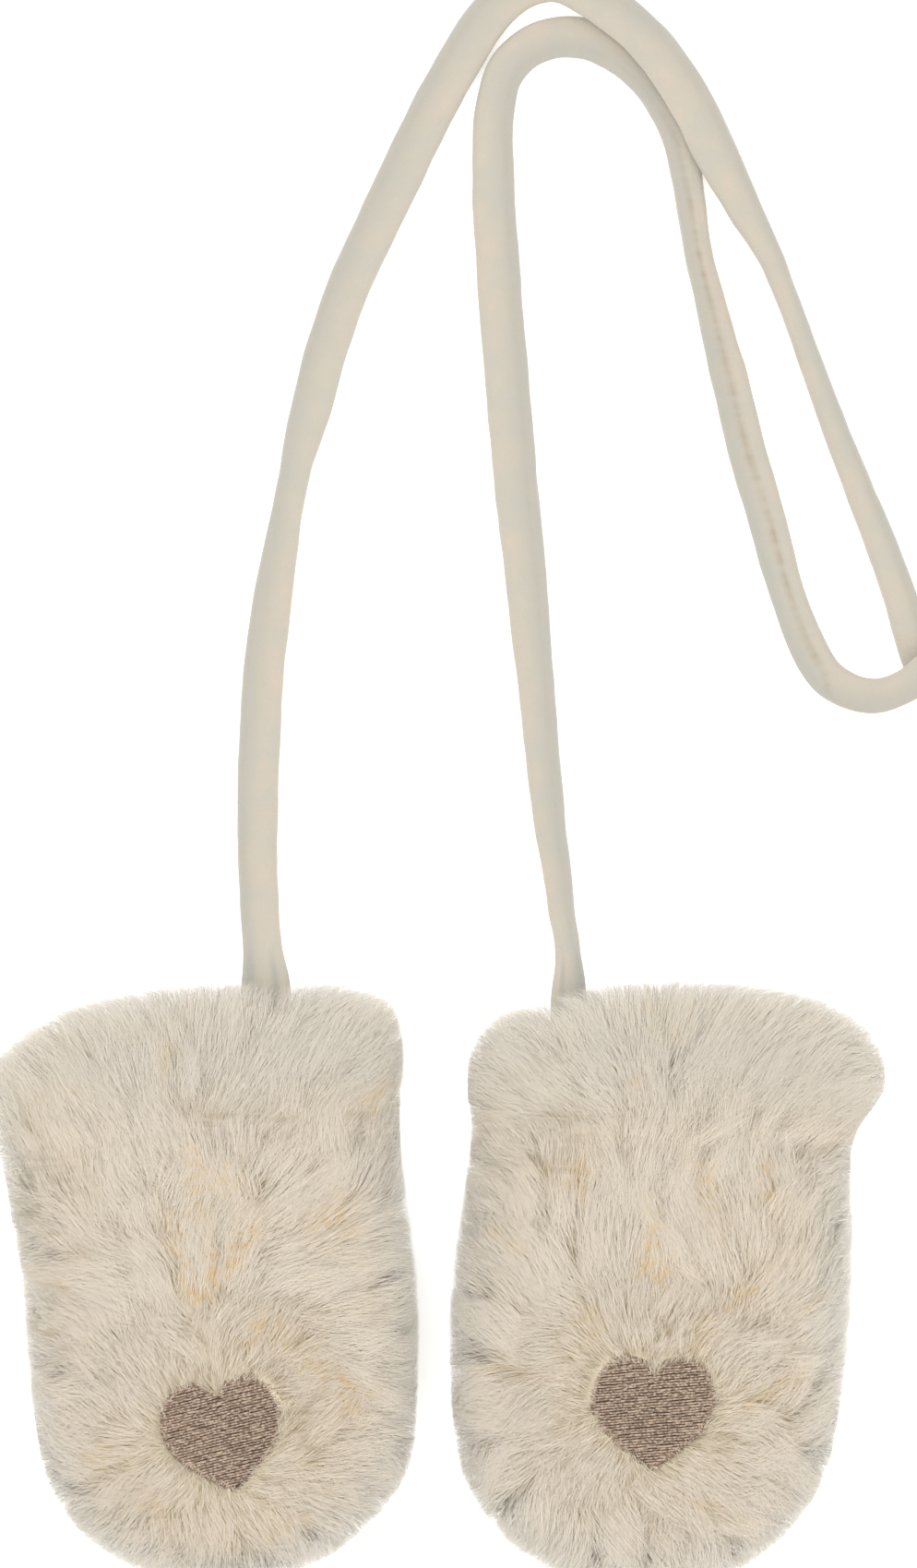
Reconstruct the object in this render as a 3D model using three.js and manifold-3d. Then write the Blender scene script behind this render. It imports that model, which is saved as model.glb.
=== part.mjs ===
import * as THREE from "three";
import { mergeVertices } from "three/addons/utils/BufferGeometryUtils.js";
import Module from "manifold-3d";

// A pair of baby mittens of long faux fur, joined by one soft velour cord and laid flat on a table,
// with an embroidered heart on each. Each mitten is a front and a back sewn together round the edge,
// drawn in at the wrist and open at the cuff. Millimetres: +Z is up from the table, +Y runs from the
// fingertips to the cuffs, and the origin is on the table under the middle of the two mittens.

// Heights over the table
const SEAM_HEIGHT = 10;
const SEAM_GAP = 0.3;
const FRONT_FOOT = SEAM_HEIGHT + SEAM_GAP / 2;
const BACK_TOP = SEAM_HEIGHT - SEAM_GAP / 2;

// Places along each mitten
const CUFF_CORNER = 48.8;
const WRIST = 34;
const TIP_START = -33.2;

// Roundness of the fur over the edges
const DOME_BREADTH = 2.8;
const DOME_SQUARENESS = 2.2;
const TIP_PLAN = 1.75;
const TIP_HEIGHT = 2.6;
const FRONT_LIP = 9;
const BACK_LIP = 7;
const BACK_LIP_DROP = 3.4;
const BACK_SIDE_ROUND = 0.24;
const BACK_TIP_ROUND = 15;

// The cuff stands open at its mouth and closes towards the wrist
const MOUTH_HEIGHT = 10;
const MOUTH_DEPTH = 30;
const MOUTH_BREADTH = 2.4;

// The wrist elastic pulls the fur into a crease, with puckers that fade away from it
const CREASE_WIDTH = 3.6;
const PUCKER_REACH = 11;
const PUCKER_DEPTH = 1.3;
const PUCKER_WIDTH = 5;

// Embroidered heart, sunk in a pocket that its stitches press into the fur
const HEART_WIDTH = 25.6;
const HEART_HEIGHT = 23.6;
const HEART_THICKNESS = 1.3;
const HEART_EDGE = 0.9;
const HEART_RINGS = 3;
const HEART_POINTS_PER_CURVE = 8;
const HOLLOW_RADIUS = 21;
const HOLLOW_DEPTH = 1.6;
const POCKET_DEPTH = 2.2;
const POCKET_HEADROOM = 5;

// Velour cord: a flattened tube of cloth
const CORD_WIDTH = 8;
const CORD_THICKNESS = 4.5;
const CORD_SIDES = 12;
const CORD_STEPS = 78;

// Fineness of the panels
const FRONT_GRID = { columns: 26, cuffRows: 11, handRows: 18 };
const BACK_GRID = { columns: 18, cuffRows: 7, handRows: 13 };

const wasm = await Module();
wasm.setup();

const furFront = new THREE.MeshStandardMaterial({ color: 0xd8cfbb, roughness: 0.95, metalness: 0 });
const furBack = new THREE.MeshStandardMaterial({ color: 0xcfc5b1, roughness: 0.95, metalness: 0 });
const heartThread = new THREE.MeshStandardMaterial({ color: 0x9a8674, roughness: 0.6, metalness: 0 });
const velour = new THREE.MeshStandardMaterial({ color: 0xd6cfc0, roughness: 0.9, metalness: 0 });

// Outline rows: y along the mitten, how far the middle of the row leans from the centre line, half of
// the width, and the height of the fur over the seam. Mouth rows: share of the half width, and how far
// the cuff's edge rises past its corners. Crease rows: share of the half width, y and depth.
const mittens = [
  {
    side: "left",
    centre: -49.2,
    tip: -65.2,
    outline: [
      { y: 48.8, lean: -2.7, half: 44.3, crown: 16.2 },
      { y: 42.8, lean: -3.4, half: 44.0, crown: 16.4 },
      { y: 35.8, lean: -3.1, half: 43.5, crown: 15.0 },
      { y: 28.8, lean: -2.5, half: 43.3, crown: 15.2 },
      { y: 20.8, lean: -0.9, half: 43.0, crown: 16.2 },
      { y: 10.8, lean: 0.4, half: 43.0, crown: 17.0 },
      { y: -1.2, lean: 1.8, half: 42.8, crown: 17.4 },
      { y: -13.2, lean: 2.3, half: 42.5, crown: 17.4 },
      { y: -25.2, lean: 2.7, half: 41.5, crown: 17.0 },
      { y: -33.2, lean: 3.2, half: 40.6, crown: 16.4 },
      { y: -65.2, lean: 1.2, half: 40.6, crown: 15.0 },
    ],
    mouth: [
      { across: -1, rise: 0 },
      { across: -0.97, rise: 2.4 },
      { across: -0.89, rise: 5.2 },
      { across: -0.72, rise: 9.8 },
      { across: -0.56, rise: 13.0 },
      { across: -0.16, rise: 16.2 },
      { across: 0.17, rise: 17.2 },
      { across: 0.74, rise: 16.6 },
      { across: 0.87, rise: 15.0 },
      { across: 0.96, rise: 11.4 },
      { across: 1, rise: 0 },
    ],
    crease: [
      { across: -1, y: 28.5, depth: 3.4 },
      { across: -0.6, y: 30.5, depth: 1.8 },
      { across: -0.1, y: 34.5, depth: 2.6 },
      { across: 0.3, y: 35.8, depth: 4.6 },
      { across: 0.6, y: 37.2, depth: 3.0 },
      { across: 1, y: 39.6, depth: 4.6 },
    ],
    puckers: [-30, -17, -6, 7, 15, 27, 36],
    heart: { x: -47.1, y: -32.0, turn: 9 },
  },
  {
    side: "right",
    centre: 47.2,
    tip: -66.6,
    outline: [
      { y: 48.8, lean: 4.2, half: 45.0, crown: 16.4 },
      { y: 42.8, lean: 4.1, half: 44.9, crown: 16.6 },
      { y: 39.8, lean: 3.3, half: 43.9, crown: 16.0 },
      { y: 35.8, lean: 2.0, half: 41.9, crown: 15.2 },
      { y: 31.8, lean: 1.0, half: 41.1, crown: 15.0 },
      { y: 26.8, lean: 0.4, half: 41.0, crown: 15.4 },
      { y: 18.8, lean: 0, half: 42.2, crown: 16.4 },
      { y: 8.8, lean: -0.5, half: 43.1, crown: 17.2 },
      { y: -5.2, lean: -1.4, half: 43.4, crown: 17.6 },
      { y: -17.2, lean: -2.0, half: 42.8, crown: 17.4 },
      { y: -29.2, lean: -2.6, half: 41.4, crown: 16.8 },
      { y: -33.2, lean: -2.7, half: 40.7, crown: 16.4 },
      { y: -66.6, lean: -2.9, half: 40.7, crown: 15.0 },
    ],
    mouth: [
      { across: -1, rise: 0 },
      { across: -0.95, rise: 5.4 },
      { across: -0.86, rise: 10.2 },
      { across: -0.64, rise: 13.8 },
      { across: -0.41, rise: 16.4 },
      { across: 0, rise: 17.8 },
      { across: 0.39, rise: 16.8 },
      { across: 0.65, rise: 14.4 },
      { across: 0.83, rise: 10.6 },
      { across: 0.96, rise: 4.8 },
      { across: 1, rise: 0 },
    ],
    crease: [
      { across: -1, y: 34.4, depth: 4.8 },
      { across: -0.7, y: 33.4, depth: 4.4 },
      { across: -0.35, y: 31.6, depth: 3.4 },
      { across: 0.1, y: 32.2, depth: 1.6 },
      { across: 0.6, y: 33.0, depth: 2.2 },
      { across: 1, y: 33.6, depth: 4.2 },
    ],
    puckers: [-35, -26, -19, -8, 9, 24, 33],
    heart: { x: 46.6, y: -27.4, turn: 1 },
  },
];

// The cord's middle line, from inside the left cuff to inside the right one. It lies on the table
// but for the two cuffs, the long overlap at the top and the loop where it passes over itself.
const CORD_ON_TABLE = CORD_THICKNESS / 2 + 0.3;
const CORD_IN_CUFF = BACK_TOP + SEAM_GAP + CORD_THICKNESS / 2;
const CORD_OVER_CORD = CORD_ON_TABLE + CORD_THICKNESS + 0.4;
const cordRoute = [
  { x: -37.3, y: 58.0, z: CORD_IN_CUFF },
  { x: -37.5, y: 64.5, z: CORD_IN_CUFF },
  { x: -38.2, y: 72.5, z: 9.8 },
  { x: -38.9, y: 82.0, z: 5.2 },
  { x: -39.4, y: 94.0, z: 2.8 },
  { x: -39.4, y: 106.0, z: CORD_ON_TABLE },
  { x: -38.4, y: 128.8, z: CORD_ON_TABLE },
  { x: -36.2, y: 148.8, z: CORD_ON_TABLE },
  { x: -31.9, y: 173.8, z: CORD_ON_TABLE },
  { x: -28.3, y: 188.8, z: CORD_ON_TABLE },
  { x: -20.8, y: 213.8, z: CORD_ON_TABLE },
  { x: -9.4, y: 238.8, z: CORD_ON_TABLE },
  { x: 3.3, y: 263.8, z: CORD_ON_TABLE },
  { x: 13.8, y: 278.4, z: CORD_ON_TABLE },
  { x: 24.0, y: 282.8, z: 3.6 },
  { x: 34.2, y: 278.8, z: 5.4 },
  { x: 46.0, y: 269.6, z: 7.0 },
  { x: 55.0, y: 256.6, z: 7.0 },
  { x: 60.6, y: 244.8, z: 5.6 },
  { x: 65.8, y: 233.8, z: 3.6 },
  { x: 72.0, y: 220.8, z: CORD_ON_TABLE },
  { x: 84.7, y: 188.8, z: CORD_ON_TABLE },
  { x: 92.6, y: 168.8, z: CORD_ON_TABLE },
  { x: 98.6, y: 153.8, z: CORD_ON_TABLE },
  { x: 102.0, y: 143.0, z: CORD_ON_TABLE },
  { x: 105.8, y: 132.0, z: CORD_ON_TABLE },
  { x: 113.6, y: 122.8, z: CORD_ON_TABLE },
  { x: 124.6, y: 118.4, z: CORD_ON_TABLE },
  { x: 134.4, y: 122.3, z: CORD_ON_TABLE },
  { x: 138.6, y: 132.2, z: CORD_ON_TABLE },
  { x: 134.6, y: 142.0, z: CORD_ON_TABLE },
  { x: 124.8, y: 146.0, z: 2.8 },
  { x: 114.2, y: 141.4, z: 5.0 },
  { x: 104.8, y: 132.8, z: CORD_OVER_CORD },
  { x: 99.6, y: 129.2, z: CORD_OVER_CORD },
  { x: 93.8, y: 127.6, z: 5.0 },
  { x: 84.4, y: 131.4, z: 2.8 },
  { x: 79.6, y: 139.2, z: CORD_ON_TABLE },
  { x: 76.0, y: 148.8, z: CORD_ON_TABLE },
  { x: 71.4, y: 163.8, z: CORD_ON_TABLE },
  { x: 67.3, y: 178.8, z: CORD_ON_TABLE },
  { x: 62.4, y: 198.8, z: CORD_ON_TABLE },
  { x: 57.2, y: 219.8, z: CORD_ON_TABLE },
  { x: 54.0, y: 238.0, z: CORD_ON_TABLE },
  { x: 51.6, y: 252.0, z: CORD_ON_TABLE },
  { x: 44.6, y: 262.8, z: CORD_ON_TABLE },
  { x: 34.0, y: 269.6, z: CORD_ON_TABLE },
  { x: 22.8, y: 270.0, z: CORD_ON_TABLE },
  { x: 14.6, y: 263.6, z: CORD_ON_TABLE },
  { x: 12.0, y: 253.8, z: CORD_ON_TABLE },
  { x: 11.7, y: 238.8, z: CORD_ON_TABLE },
  { x: 13.0, y: 218.8, z: CORD_ON_TABLE },
  { x: 15.3, y: 188.8, z: CORD_ON_TABLE },
  { x: 18.1, y: 158.8, z: CORD_ON_TABLE },
  { x: 21.1, y: 128.8, z: CORD_ON_TABLE },
  { x: 23.6, y: 106.0, z: CORD_ON_TABLE },
  { x: 24.8, y: 94.0, z: 2.8 },
  { x: 26.2, y: 82.0, z: 5.4 },
  { x: 27.4, y: 72.5, z: 10.0 },
  { x: 28.0, y: 63.0, z: CORD_IN_CUFF },
  { x: 28.1, y: 56.5, z: CORD_IN_CUFF },
];

// A curve through one column of a table that doesn't swing past its rows.
function columnCurve(rows, key, column) {
  const at = rows.map((row) => row[key]);
  const value = rows.map((row) => row[column]);
  const rate = at.slice(1).map((next, i) => (value[i + 1] - value[i]) / (next - at[i]));
  const slope = at.map((_, i) => {
    if (i === 0) return rate[0];
    if (i === at.length - 1) return rate[i - 1];
    const product = rate[i - 1] * rate[i];
    return product > 0 ? (2 * product) / (rate[i - 1] + rate[i]) : 0;
  });
  const rising = at[1] > at[0];
  return (x) => {
    let i = 0;
    while (i < at.length - 2 && (rising ? x > at[i + 1] : x < at[i + 1])) i += 1;
    const span = at[i + 1] - at[i];
    const t = THREE.MathUtils.clamp((x - at[i]) / span, 0, 1);
    const bend = t * t * (3 - 2 * t);
    const start = t * (1 - t) * (1 - t) * span * slope[i];
    const end = t * t * (1 - t) * span * slope[i + 1];
    return value[i] + (value[i + 1] - value[i]) * bend + start - end;
  };
}

// A quarter round: 0 at the edge, 1 from one radius inward.
function quarterRound(distance, radius) {
  const share = THREE.MathUtils.clamp(distance / radius, 0, 1);
  return Math.sqrt(1 - (1 - share) ** 2);
}

function bell(distance, width) {
  return Math.exp(-((distance / width) ** 2));
}

// The surfaces of one mitten, as functions of u across (-1 to 1) and the row's place along it.
function mittenForm(mitten) {
  const lean = columnCurve(mitten.outline, "y", "lean");
  const half = columnCurve(mitten.outline, "y", "half");
  const crown = columnCurve(mitten.outline, "y", "crown");
  const rise = columnCurve(mitten.mouth, "across", "rise");
  const creaseY = columnCurve(mitten.crease, "across", "y");
  const creaseDepth = columnCurve(mitten.crease, "across", "depth");

  const towardsTip = (row) => THREE.MathUtils.clamp((TIP_START - row) / (TIP_START - mitten.tip), 0, 1);
  const halfWidth = (row) => half(row) * Math.sqrt(1 - towardsTip(row) ** TIP_PLAN);
  const middle = (row) => mitten.centre + lean(row);

  // Rows near the cuff bow up to follow the mouth's edge, and are straight from the wrist on.
  const bow = (row) => THREE.MathUtils.clamp((row - WRIST) / (CUFF_CORNER - WRIST), 0, 1);
  const place = (u, row) => ({ x: middle(row) + u * halfWidth(row), y: row + rise(u) * bow(row) });
  const fromMouth = (u, row) => CUFF_CORNER + rise(u) - place(u, row).y;

  const mouthArch = (u, row) => {
    const share = THREE.MathUtils.clamp(fromMouth(u, row) / MOUTH_DEPTH, 0, 1);
    return MOUTH_HEIGHT * (1 - share ** 1.5) * (1 - Math.abs(u) ** MOUTH_BREADTH);
  };

  const pressedIn = (u, row) => {
    const { x, y } = place(u, row);
    const fromCrease = y - creaseY(u);
    const crease = creaseDepth(u) * bell(fromCrease, CREASE_WIDTH);
    const puckers = mitten.puckers.map((at) => bell(x - mitten.centre - at, PUCKER_WIDTH));
    const pucker = PUCKER_DEPTH * Math.max(...puckers) * Math.exp(-Math.abs(fromCrease) / PUCKER_REACH);
    const fromHeart = Math.hypot(x - mitten.heart.x, y - mitten.heart.y);
    const share = Math.min(fromHeart / HOLLOW_RADIUS, 1);
    const hollow = (HOLLOW_DEPTH * (1 + Math.cos(Math.PI * share))) / 2;
    return crease + pucker + hollow;
  };

  const frontInner = (u, row) => FRONT_FOOT + mouthArch(u, row);
  const frontOuter = (u, row) => {
    const dome = (1 - Math.abs(u) ** DOME_BREADTH) ** (1 / DOME_SQUARENESS);
    const height = (crown(row) - pressedIn(u, row)) * dome;
    const ends = quarterRound(fromMouth(u, row), FRONT_LIP) * Math.sqrt(1 - towardsTip(row) ** TIP_HEIGHT);
    return frontInner(u, row) + (height - mouthArch(u, row)) * ends;
  };

  const backInner = (u, row) => {
    const lip = 1 - quarterRound(fromMouth(u, row), BACK_LIP);
    return BACK_TOP - BACK_LIP_DROP * lip * (1 - Math.abs(u) ** MOUTH_BREADTH);
  };
  const backOuter = (u, row) => {
    const side = quarterRound(1 - Math.abs(u), BACK_SIDE_ROUND);
    const mouth = quarterRound(fromMouth(u, row), BACK_LIP);
    const tip = quarterRound(row - mitten.tip, BACK_TIP_ROUND);
    return backInner(u, row) * (1 - side * mouth * tip);
  };

  // The fur's height over a point of the hand, for what lies on it.
  const frontHeightAt = (x, y) => frontOuter((x - middle(y)) / halfWidth(y), y);
  return { place, frontInner, frontOuter, backInner, backOuter, frontHeightAt };
}

// Rows from the cuff to the fingertips, closest together at the mouth, the wrist and the tip.
function rowPlaces(mitten, grid) {
  const run = (from, to, count) =>
    Array.from({ length: count }, (_, i) => from + ((to - from) * (1 - Math.cos((Math.PI * i) / count))) / 2);
  return [
    ...run(CUFF_CORNER, WRIST, grid.cuffRows),
    ...run(WRIST, mitten.tip, grid.handRows),
    mitten.tip,
  ];
}

// A closed panel between two surfaces that share their rim, with all the last row in one point.
function panelGeometry(mitten, form, grid, upper, lower) {
  const rows = rowPlaces(mitten, grid);
  const lastRow = rows.length - 1;
  const lastColumn = grid.columns;
  const points = [];
  const known = new Map();
  const pointAt = (layer, row, column) => {
    const onRim = row === 0 || column === 0 || column === lastColumn;
    const key = row === lastRow ? "tip" : `${onRim ? "rim" : layer} ${row} ${column}`;
    if (!known.has(key)) {
      const u = row === lastRow ? 0 : Math.sin(Math.PI * (column / lastColumn - 0.5));
      const { x, y } = form.place(u, rows[row]);
      const surface = layer === "upper" || key === "tip" || onRim ? upper : lower;
      known.set(key, points.length / 3);
      points.push(x, y, surface(u, rows[row]));
    }
    return known.get(key);
  };
  const triangles = [];
  const addTriangle = (a, b, c) => {
    if (a !== b && b !== c && c !== a) triangles.push(a, b, c);
  };
  for (let row = 0; row < lastRow; row += 1) {
    for (let column = 0; column < lastColumn; column += 1) {
      for (const layer of ["upper", "lower"]) {
        const a = pointAt(layer, row, column);
        const b = pointAt(layer, row + 1, column);
        const c = pointAt(layer, row + 1, column + 1);
        const d = pointAt(layer, row, column + 1);
        if (layer === "upper") {
          addTriangle(a, b, c);
          addTriangle(a, c, d);
        } else {
          addTriangle(a, c, b);
          addTriangle(a, d, c);
        }
      }
    }
  }
  return solidGeometry(points, triangles);
}

function solidGeometry(points, triangles) {
  const geometry = new THREE.BufferGeometry();
  geometry.setAttribute("position", new THREE.Float32BufferAttribute(points, 3));
  geometry.setIndex(triangles);
  geometry.computeVertexNormals();
  return geometry;
}

// The heart's outline, from the notch round the left lobe and the tip back to the notch.
function heartOutline() {
  const wide = HEART_WIDTH / 2;
  const tall = HEART_HEIGHT / 2;
  const notch = 0.75 * tall;
  const outline = new THREE.Shape();
  outline.moveTo(0, notch);
  outline.bezierCurveTo(-0.17 * wide, 1.12 * tall, -0.96 * wide, 1.2 * tall, -wide, 0.27 * tall);
  outline.bezierCurveTo(-wide, -0.28 * tall, -0.47 * wide, -0.62 * tall, 0, -tall);
  outline.bezierCurveTo(0.47 * wide, -0.62 * tall, wide, -0.28 * tall, wide, 0.27 * tall);
  outline.bezierCurveTo(0.96 * wide, 1.2 * tall, 0.17 * wide, 1.12 * tall, 0, notch);
  return outline.getPoints(HEART_POINTS_PER_CURVE).slice(0, -1);
}

// A slab in the heart's outline, whose two faces follow the fur: each is set out by its height over the
// fur at the rim and how much higher its middle is. The margin widens the outline.
function heartSlab(mitten, form, margin, faces) {
  const turn = THREE.MathUtils.degToRad(mitten.heart.turn);
  const widened = 1 + (2 * margin) / HEART_HEIGHT;
  const outline = heartOutline();
  const points = [];
  const addPoint = (flat, share, lift) => {
    const turned = flat.clone().multiplyScalar(share * widened).rotateAround(new THREE.Vector2(), turn);
    const x = mitten.heart.x + turned.x;
    const y = mitten.heart.y + turned.y;
    points.push(x, y, form.frontHeightAt(x, y) + lift);
  };
  for (const { rim, crown } of faces) {
    addPoint(new THREE.Vector2(), 0, rim + crown);
    for (let ring = 1; ring <= HEART_RINGS; ring += 1) {
      const share = ring / HEART_RINGS;
      for (const flat of outline) addPoint(flat, share, rim + crown * (1 - share ** 4));
    }
  }
  const count = outline.length;
  const faceSize = 1 + HEART_RINGS * count;
  const pointOf = (face, ring, i) => face * faceSize + (ring === 0 ? 0 : 1 + (ring - 1) * count + (i % count));
  const triangles = [];
  for (let i = 0; i < count; i += 1) {
    for (const face of [0, 1]) {
      const add = (a, b, c) => triangles.push(a, face === 0 ? c : b, face === 0 ? b : c);
      add(pointOf(face, 0, 0), pointOf(face, 1, i), pointOf(face, 1, i + 1));
      for (let ring = 1; ring < HEART_RINGS; ring += 1) {
        const [a, b] = [pointOf(face, ring, i), pointOf(face, ring, i + 1)];
        const [c, d] = [pointOf(face, ring + 1, i + 1), pointOf(face, ring + 1, i)];
        add(a, d, c);
        add(a, c, b);
      }
    }
    const [low, nextLow] = [pointOf(0, HEART_RINGS, i), pointOf(0, HEART_RINGS, i + 1)];
    const [high, nextHigh] = [pointOf(1, HEART_RINGS, i), pointOf(1, HEART_RINGS, i + 1)];
    triangles.push(low, nextLow, nextHigh, low, nextHigh, high);
  }
  return solidGeometry(points, triangles);
}

function heartGeometry(mitten, form) {
  const underside = SEAM_GAP - POCKET_DEPTH;
  return heartSlab(mitten, form, 0, [
    { rim: underside, crown: 0 },
    { rim: underside + HEART_EDGE, crown: HEART_THICKNESS - HEART_EDGE },
  ]);
}

function pocketGeometry(mitten, form) {
  return heartSlab(mitten, form, SEAM_GAP, [
    { rim: -POCKET_DEPTH, crown: 0 },
    { rim: POCKET_HEADROOM, crown: 0 },
  ]);
}

function toSolid(geometry) {
  const bare = geometry.clone();
  bare.deleteAttribute("normal");
  bare.deleteAttribute("uv");
  const merged = mergeVertices(bare);
  const vertProperties = new Float32Array(merged.attributes.position.array);
  const triVerts = new Uint32Array(merged.index.array);
  return new wasm.Manifold(new wasm.Mesh({ numProp: 3, vertProperties, triVerts }));
}

function subtractGeometry(body, tool) {
  const cut = toSolid(body).subtract(toSolid(tool)).getMesh();
  return solidGeometry(Array.from(cut.vertProperties), Array.from(cut.triVerts));
}

// The cord: an oval section, flat side down, pushed along its route.
function cordGeometry() {
  const section = new THREE.Shape(
    Array.from({ length: CORD_SIDES }, (_, i) => {
      const angle = (2 * Math.PI * (i + 0.5)) / CORD_SIDES;
      return new THREE.Vector2((CORD_THICKNESS / 2) * Math.cos(angle), (CORD_WIDTH / 2) * Math.sin(angle));
    }),
  );
  const route = new THREE.CatmullRomCurve3(
    cordRoute.map(({ x, y, z }) => new THREE.Vector3(x, y, z)),
    false,
    "centripetal",
  );
  return new THREE.ExtrudeGeometry(section, { steps: CORD_STEPS, extrudePath: route, bevelEnabled: false });
}

function addMesh(group, name, geometry, material) {
  const mesh = new THREE.Mesh(geometry, material);
  mesh.name = name;
  group.add(mesh);
}

const pair = new THREE.Group();
for (const mitten of mittens) {
  const form = mittenForm(mitten);
  const fur = panelGeometry(mitten, form, FRONT_GRID, form.frontOuter, form.frontInner);
  const front = subtractGeometry(fur, pocketGeometry(mitten, form));
  const back = panelGeometry(mitten, form, BACK_GRID, form.backInner, form.backOuter);
  addMesh(pair, `${mitten.side}_front_panel`, front, furFront);
  addMesh(pair, `${mitten.side}_back_panel`, back, furBack);
  addMesh(pair, `${mitten.side}_heart`, heartGeometry(mitten, form), heartThread);
}
addMesh(pair, "cord", cordGeometry(), velour);

export default pair;
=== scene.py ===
"""A pair of baby mittens in long plush, with embroidered hearts, joined by one velour cord and laid flat."""

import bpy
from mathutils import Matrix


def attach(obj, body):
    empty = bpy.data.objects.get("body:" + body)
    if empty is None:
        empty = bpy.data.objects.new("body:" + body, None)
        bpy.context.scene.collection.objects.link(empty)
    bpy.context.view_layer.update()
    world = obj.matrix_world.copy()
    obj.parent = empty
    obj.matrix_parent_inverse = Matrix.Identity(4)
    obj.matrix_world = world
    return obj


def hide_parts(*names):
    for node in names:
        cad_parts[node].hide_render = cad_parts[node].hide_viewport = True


bl_info = {
    "name": "Plush Baby Mittens",
    "version": (1, 0, 0),
    "blender": (4, 5, 0),
    "location": "3D View > Sidebar > Mittens",
    "description": "Lays out a pair of plush baby mittens with their cord around a fixed frame",
    "category": "Object",
}

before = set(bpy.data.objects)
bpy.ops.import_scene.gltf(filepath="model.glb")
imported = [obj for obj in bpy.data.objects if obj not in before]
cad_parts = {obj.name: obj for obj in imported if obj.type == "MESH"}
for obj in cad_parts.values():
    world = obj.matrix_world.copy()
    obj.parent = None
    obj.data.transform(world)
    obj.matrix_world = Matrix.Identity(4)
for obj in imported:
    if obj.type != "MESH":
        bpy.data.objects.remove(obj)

import math

import bmesh
import bpy
import numpy as np
from bpy.props import FloatProperty, FloatVectorProperty, IntProperty, PointerProperty
from mathutils import Vector, noise
from mathutils.bvhtree import BVHTree


def linear(hex_colour):
    """A colour given as sRGB hex, as linear red, green, blue and alpha."""
    channels = [int(hex_colour[i:i + 2], 16) / 255 for i in (0, 2, 4)]
    return tuple(c / 12.92 if c <= 0.04045 else ((c + 0.055) / 1.055) ** 2.4 for c in channels) + (1.0,)


MM = 0.001

# Where each mitten's middle is, its heart as the photo shows it (place, turn in degrees and turn of its
# threads), and the middle of its cord where it goes into the cuff.
MITTENS = {
    "left": {"centre": -49.2 * MM, "heart": (-46.0 * MM, -31.6 * MM), "turn": 11.0, "threads": 14.0,
             "cord_end": (-37.4 * MM, 62.0 * MM)},
    "right": {"centre": 47.2 * MM, "heart": (45.9 * MM, -26.9 * MM), "turn": -2.0, "threads": 5.0,
              "cord_end": (28.0 * MM, 61.0 * MM)},
}
SEAM_HEIGHT = 10.0 * MM
WRIST = 34.0 * MM
HEART_WIDTH = 26.4 * MM
HEART_HEIGHT = 24.2 * MM

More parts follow.
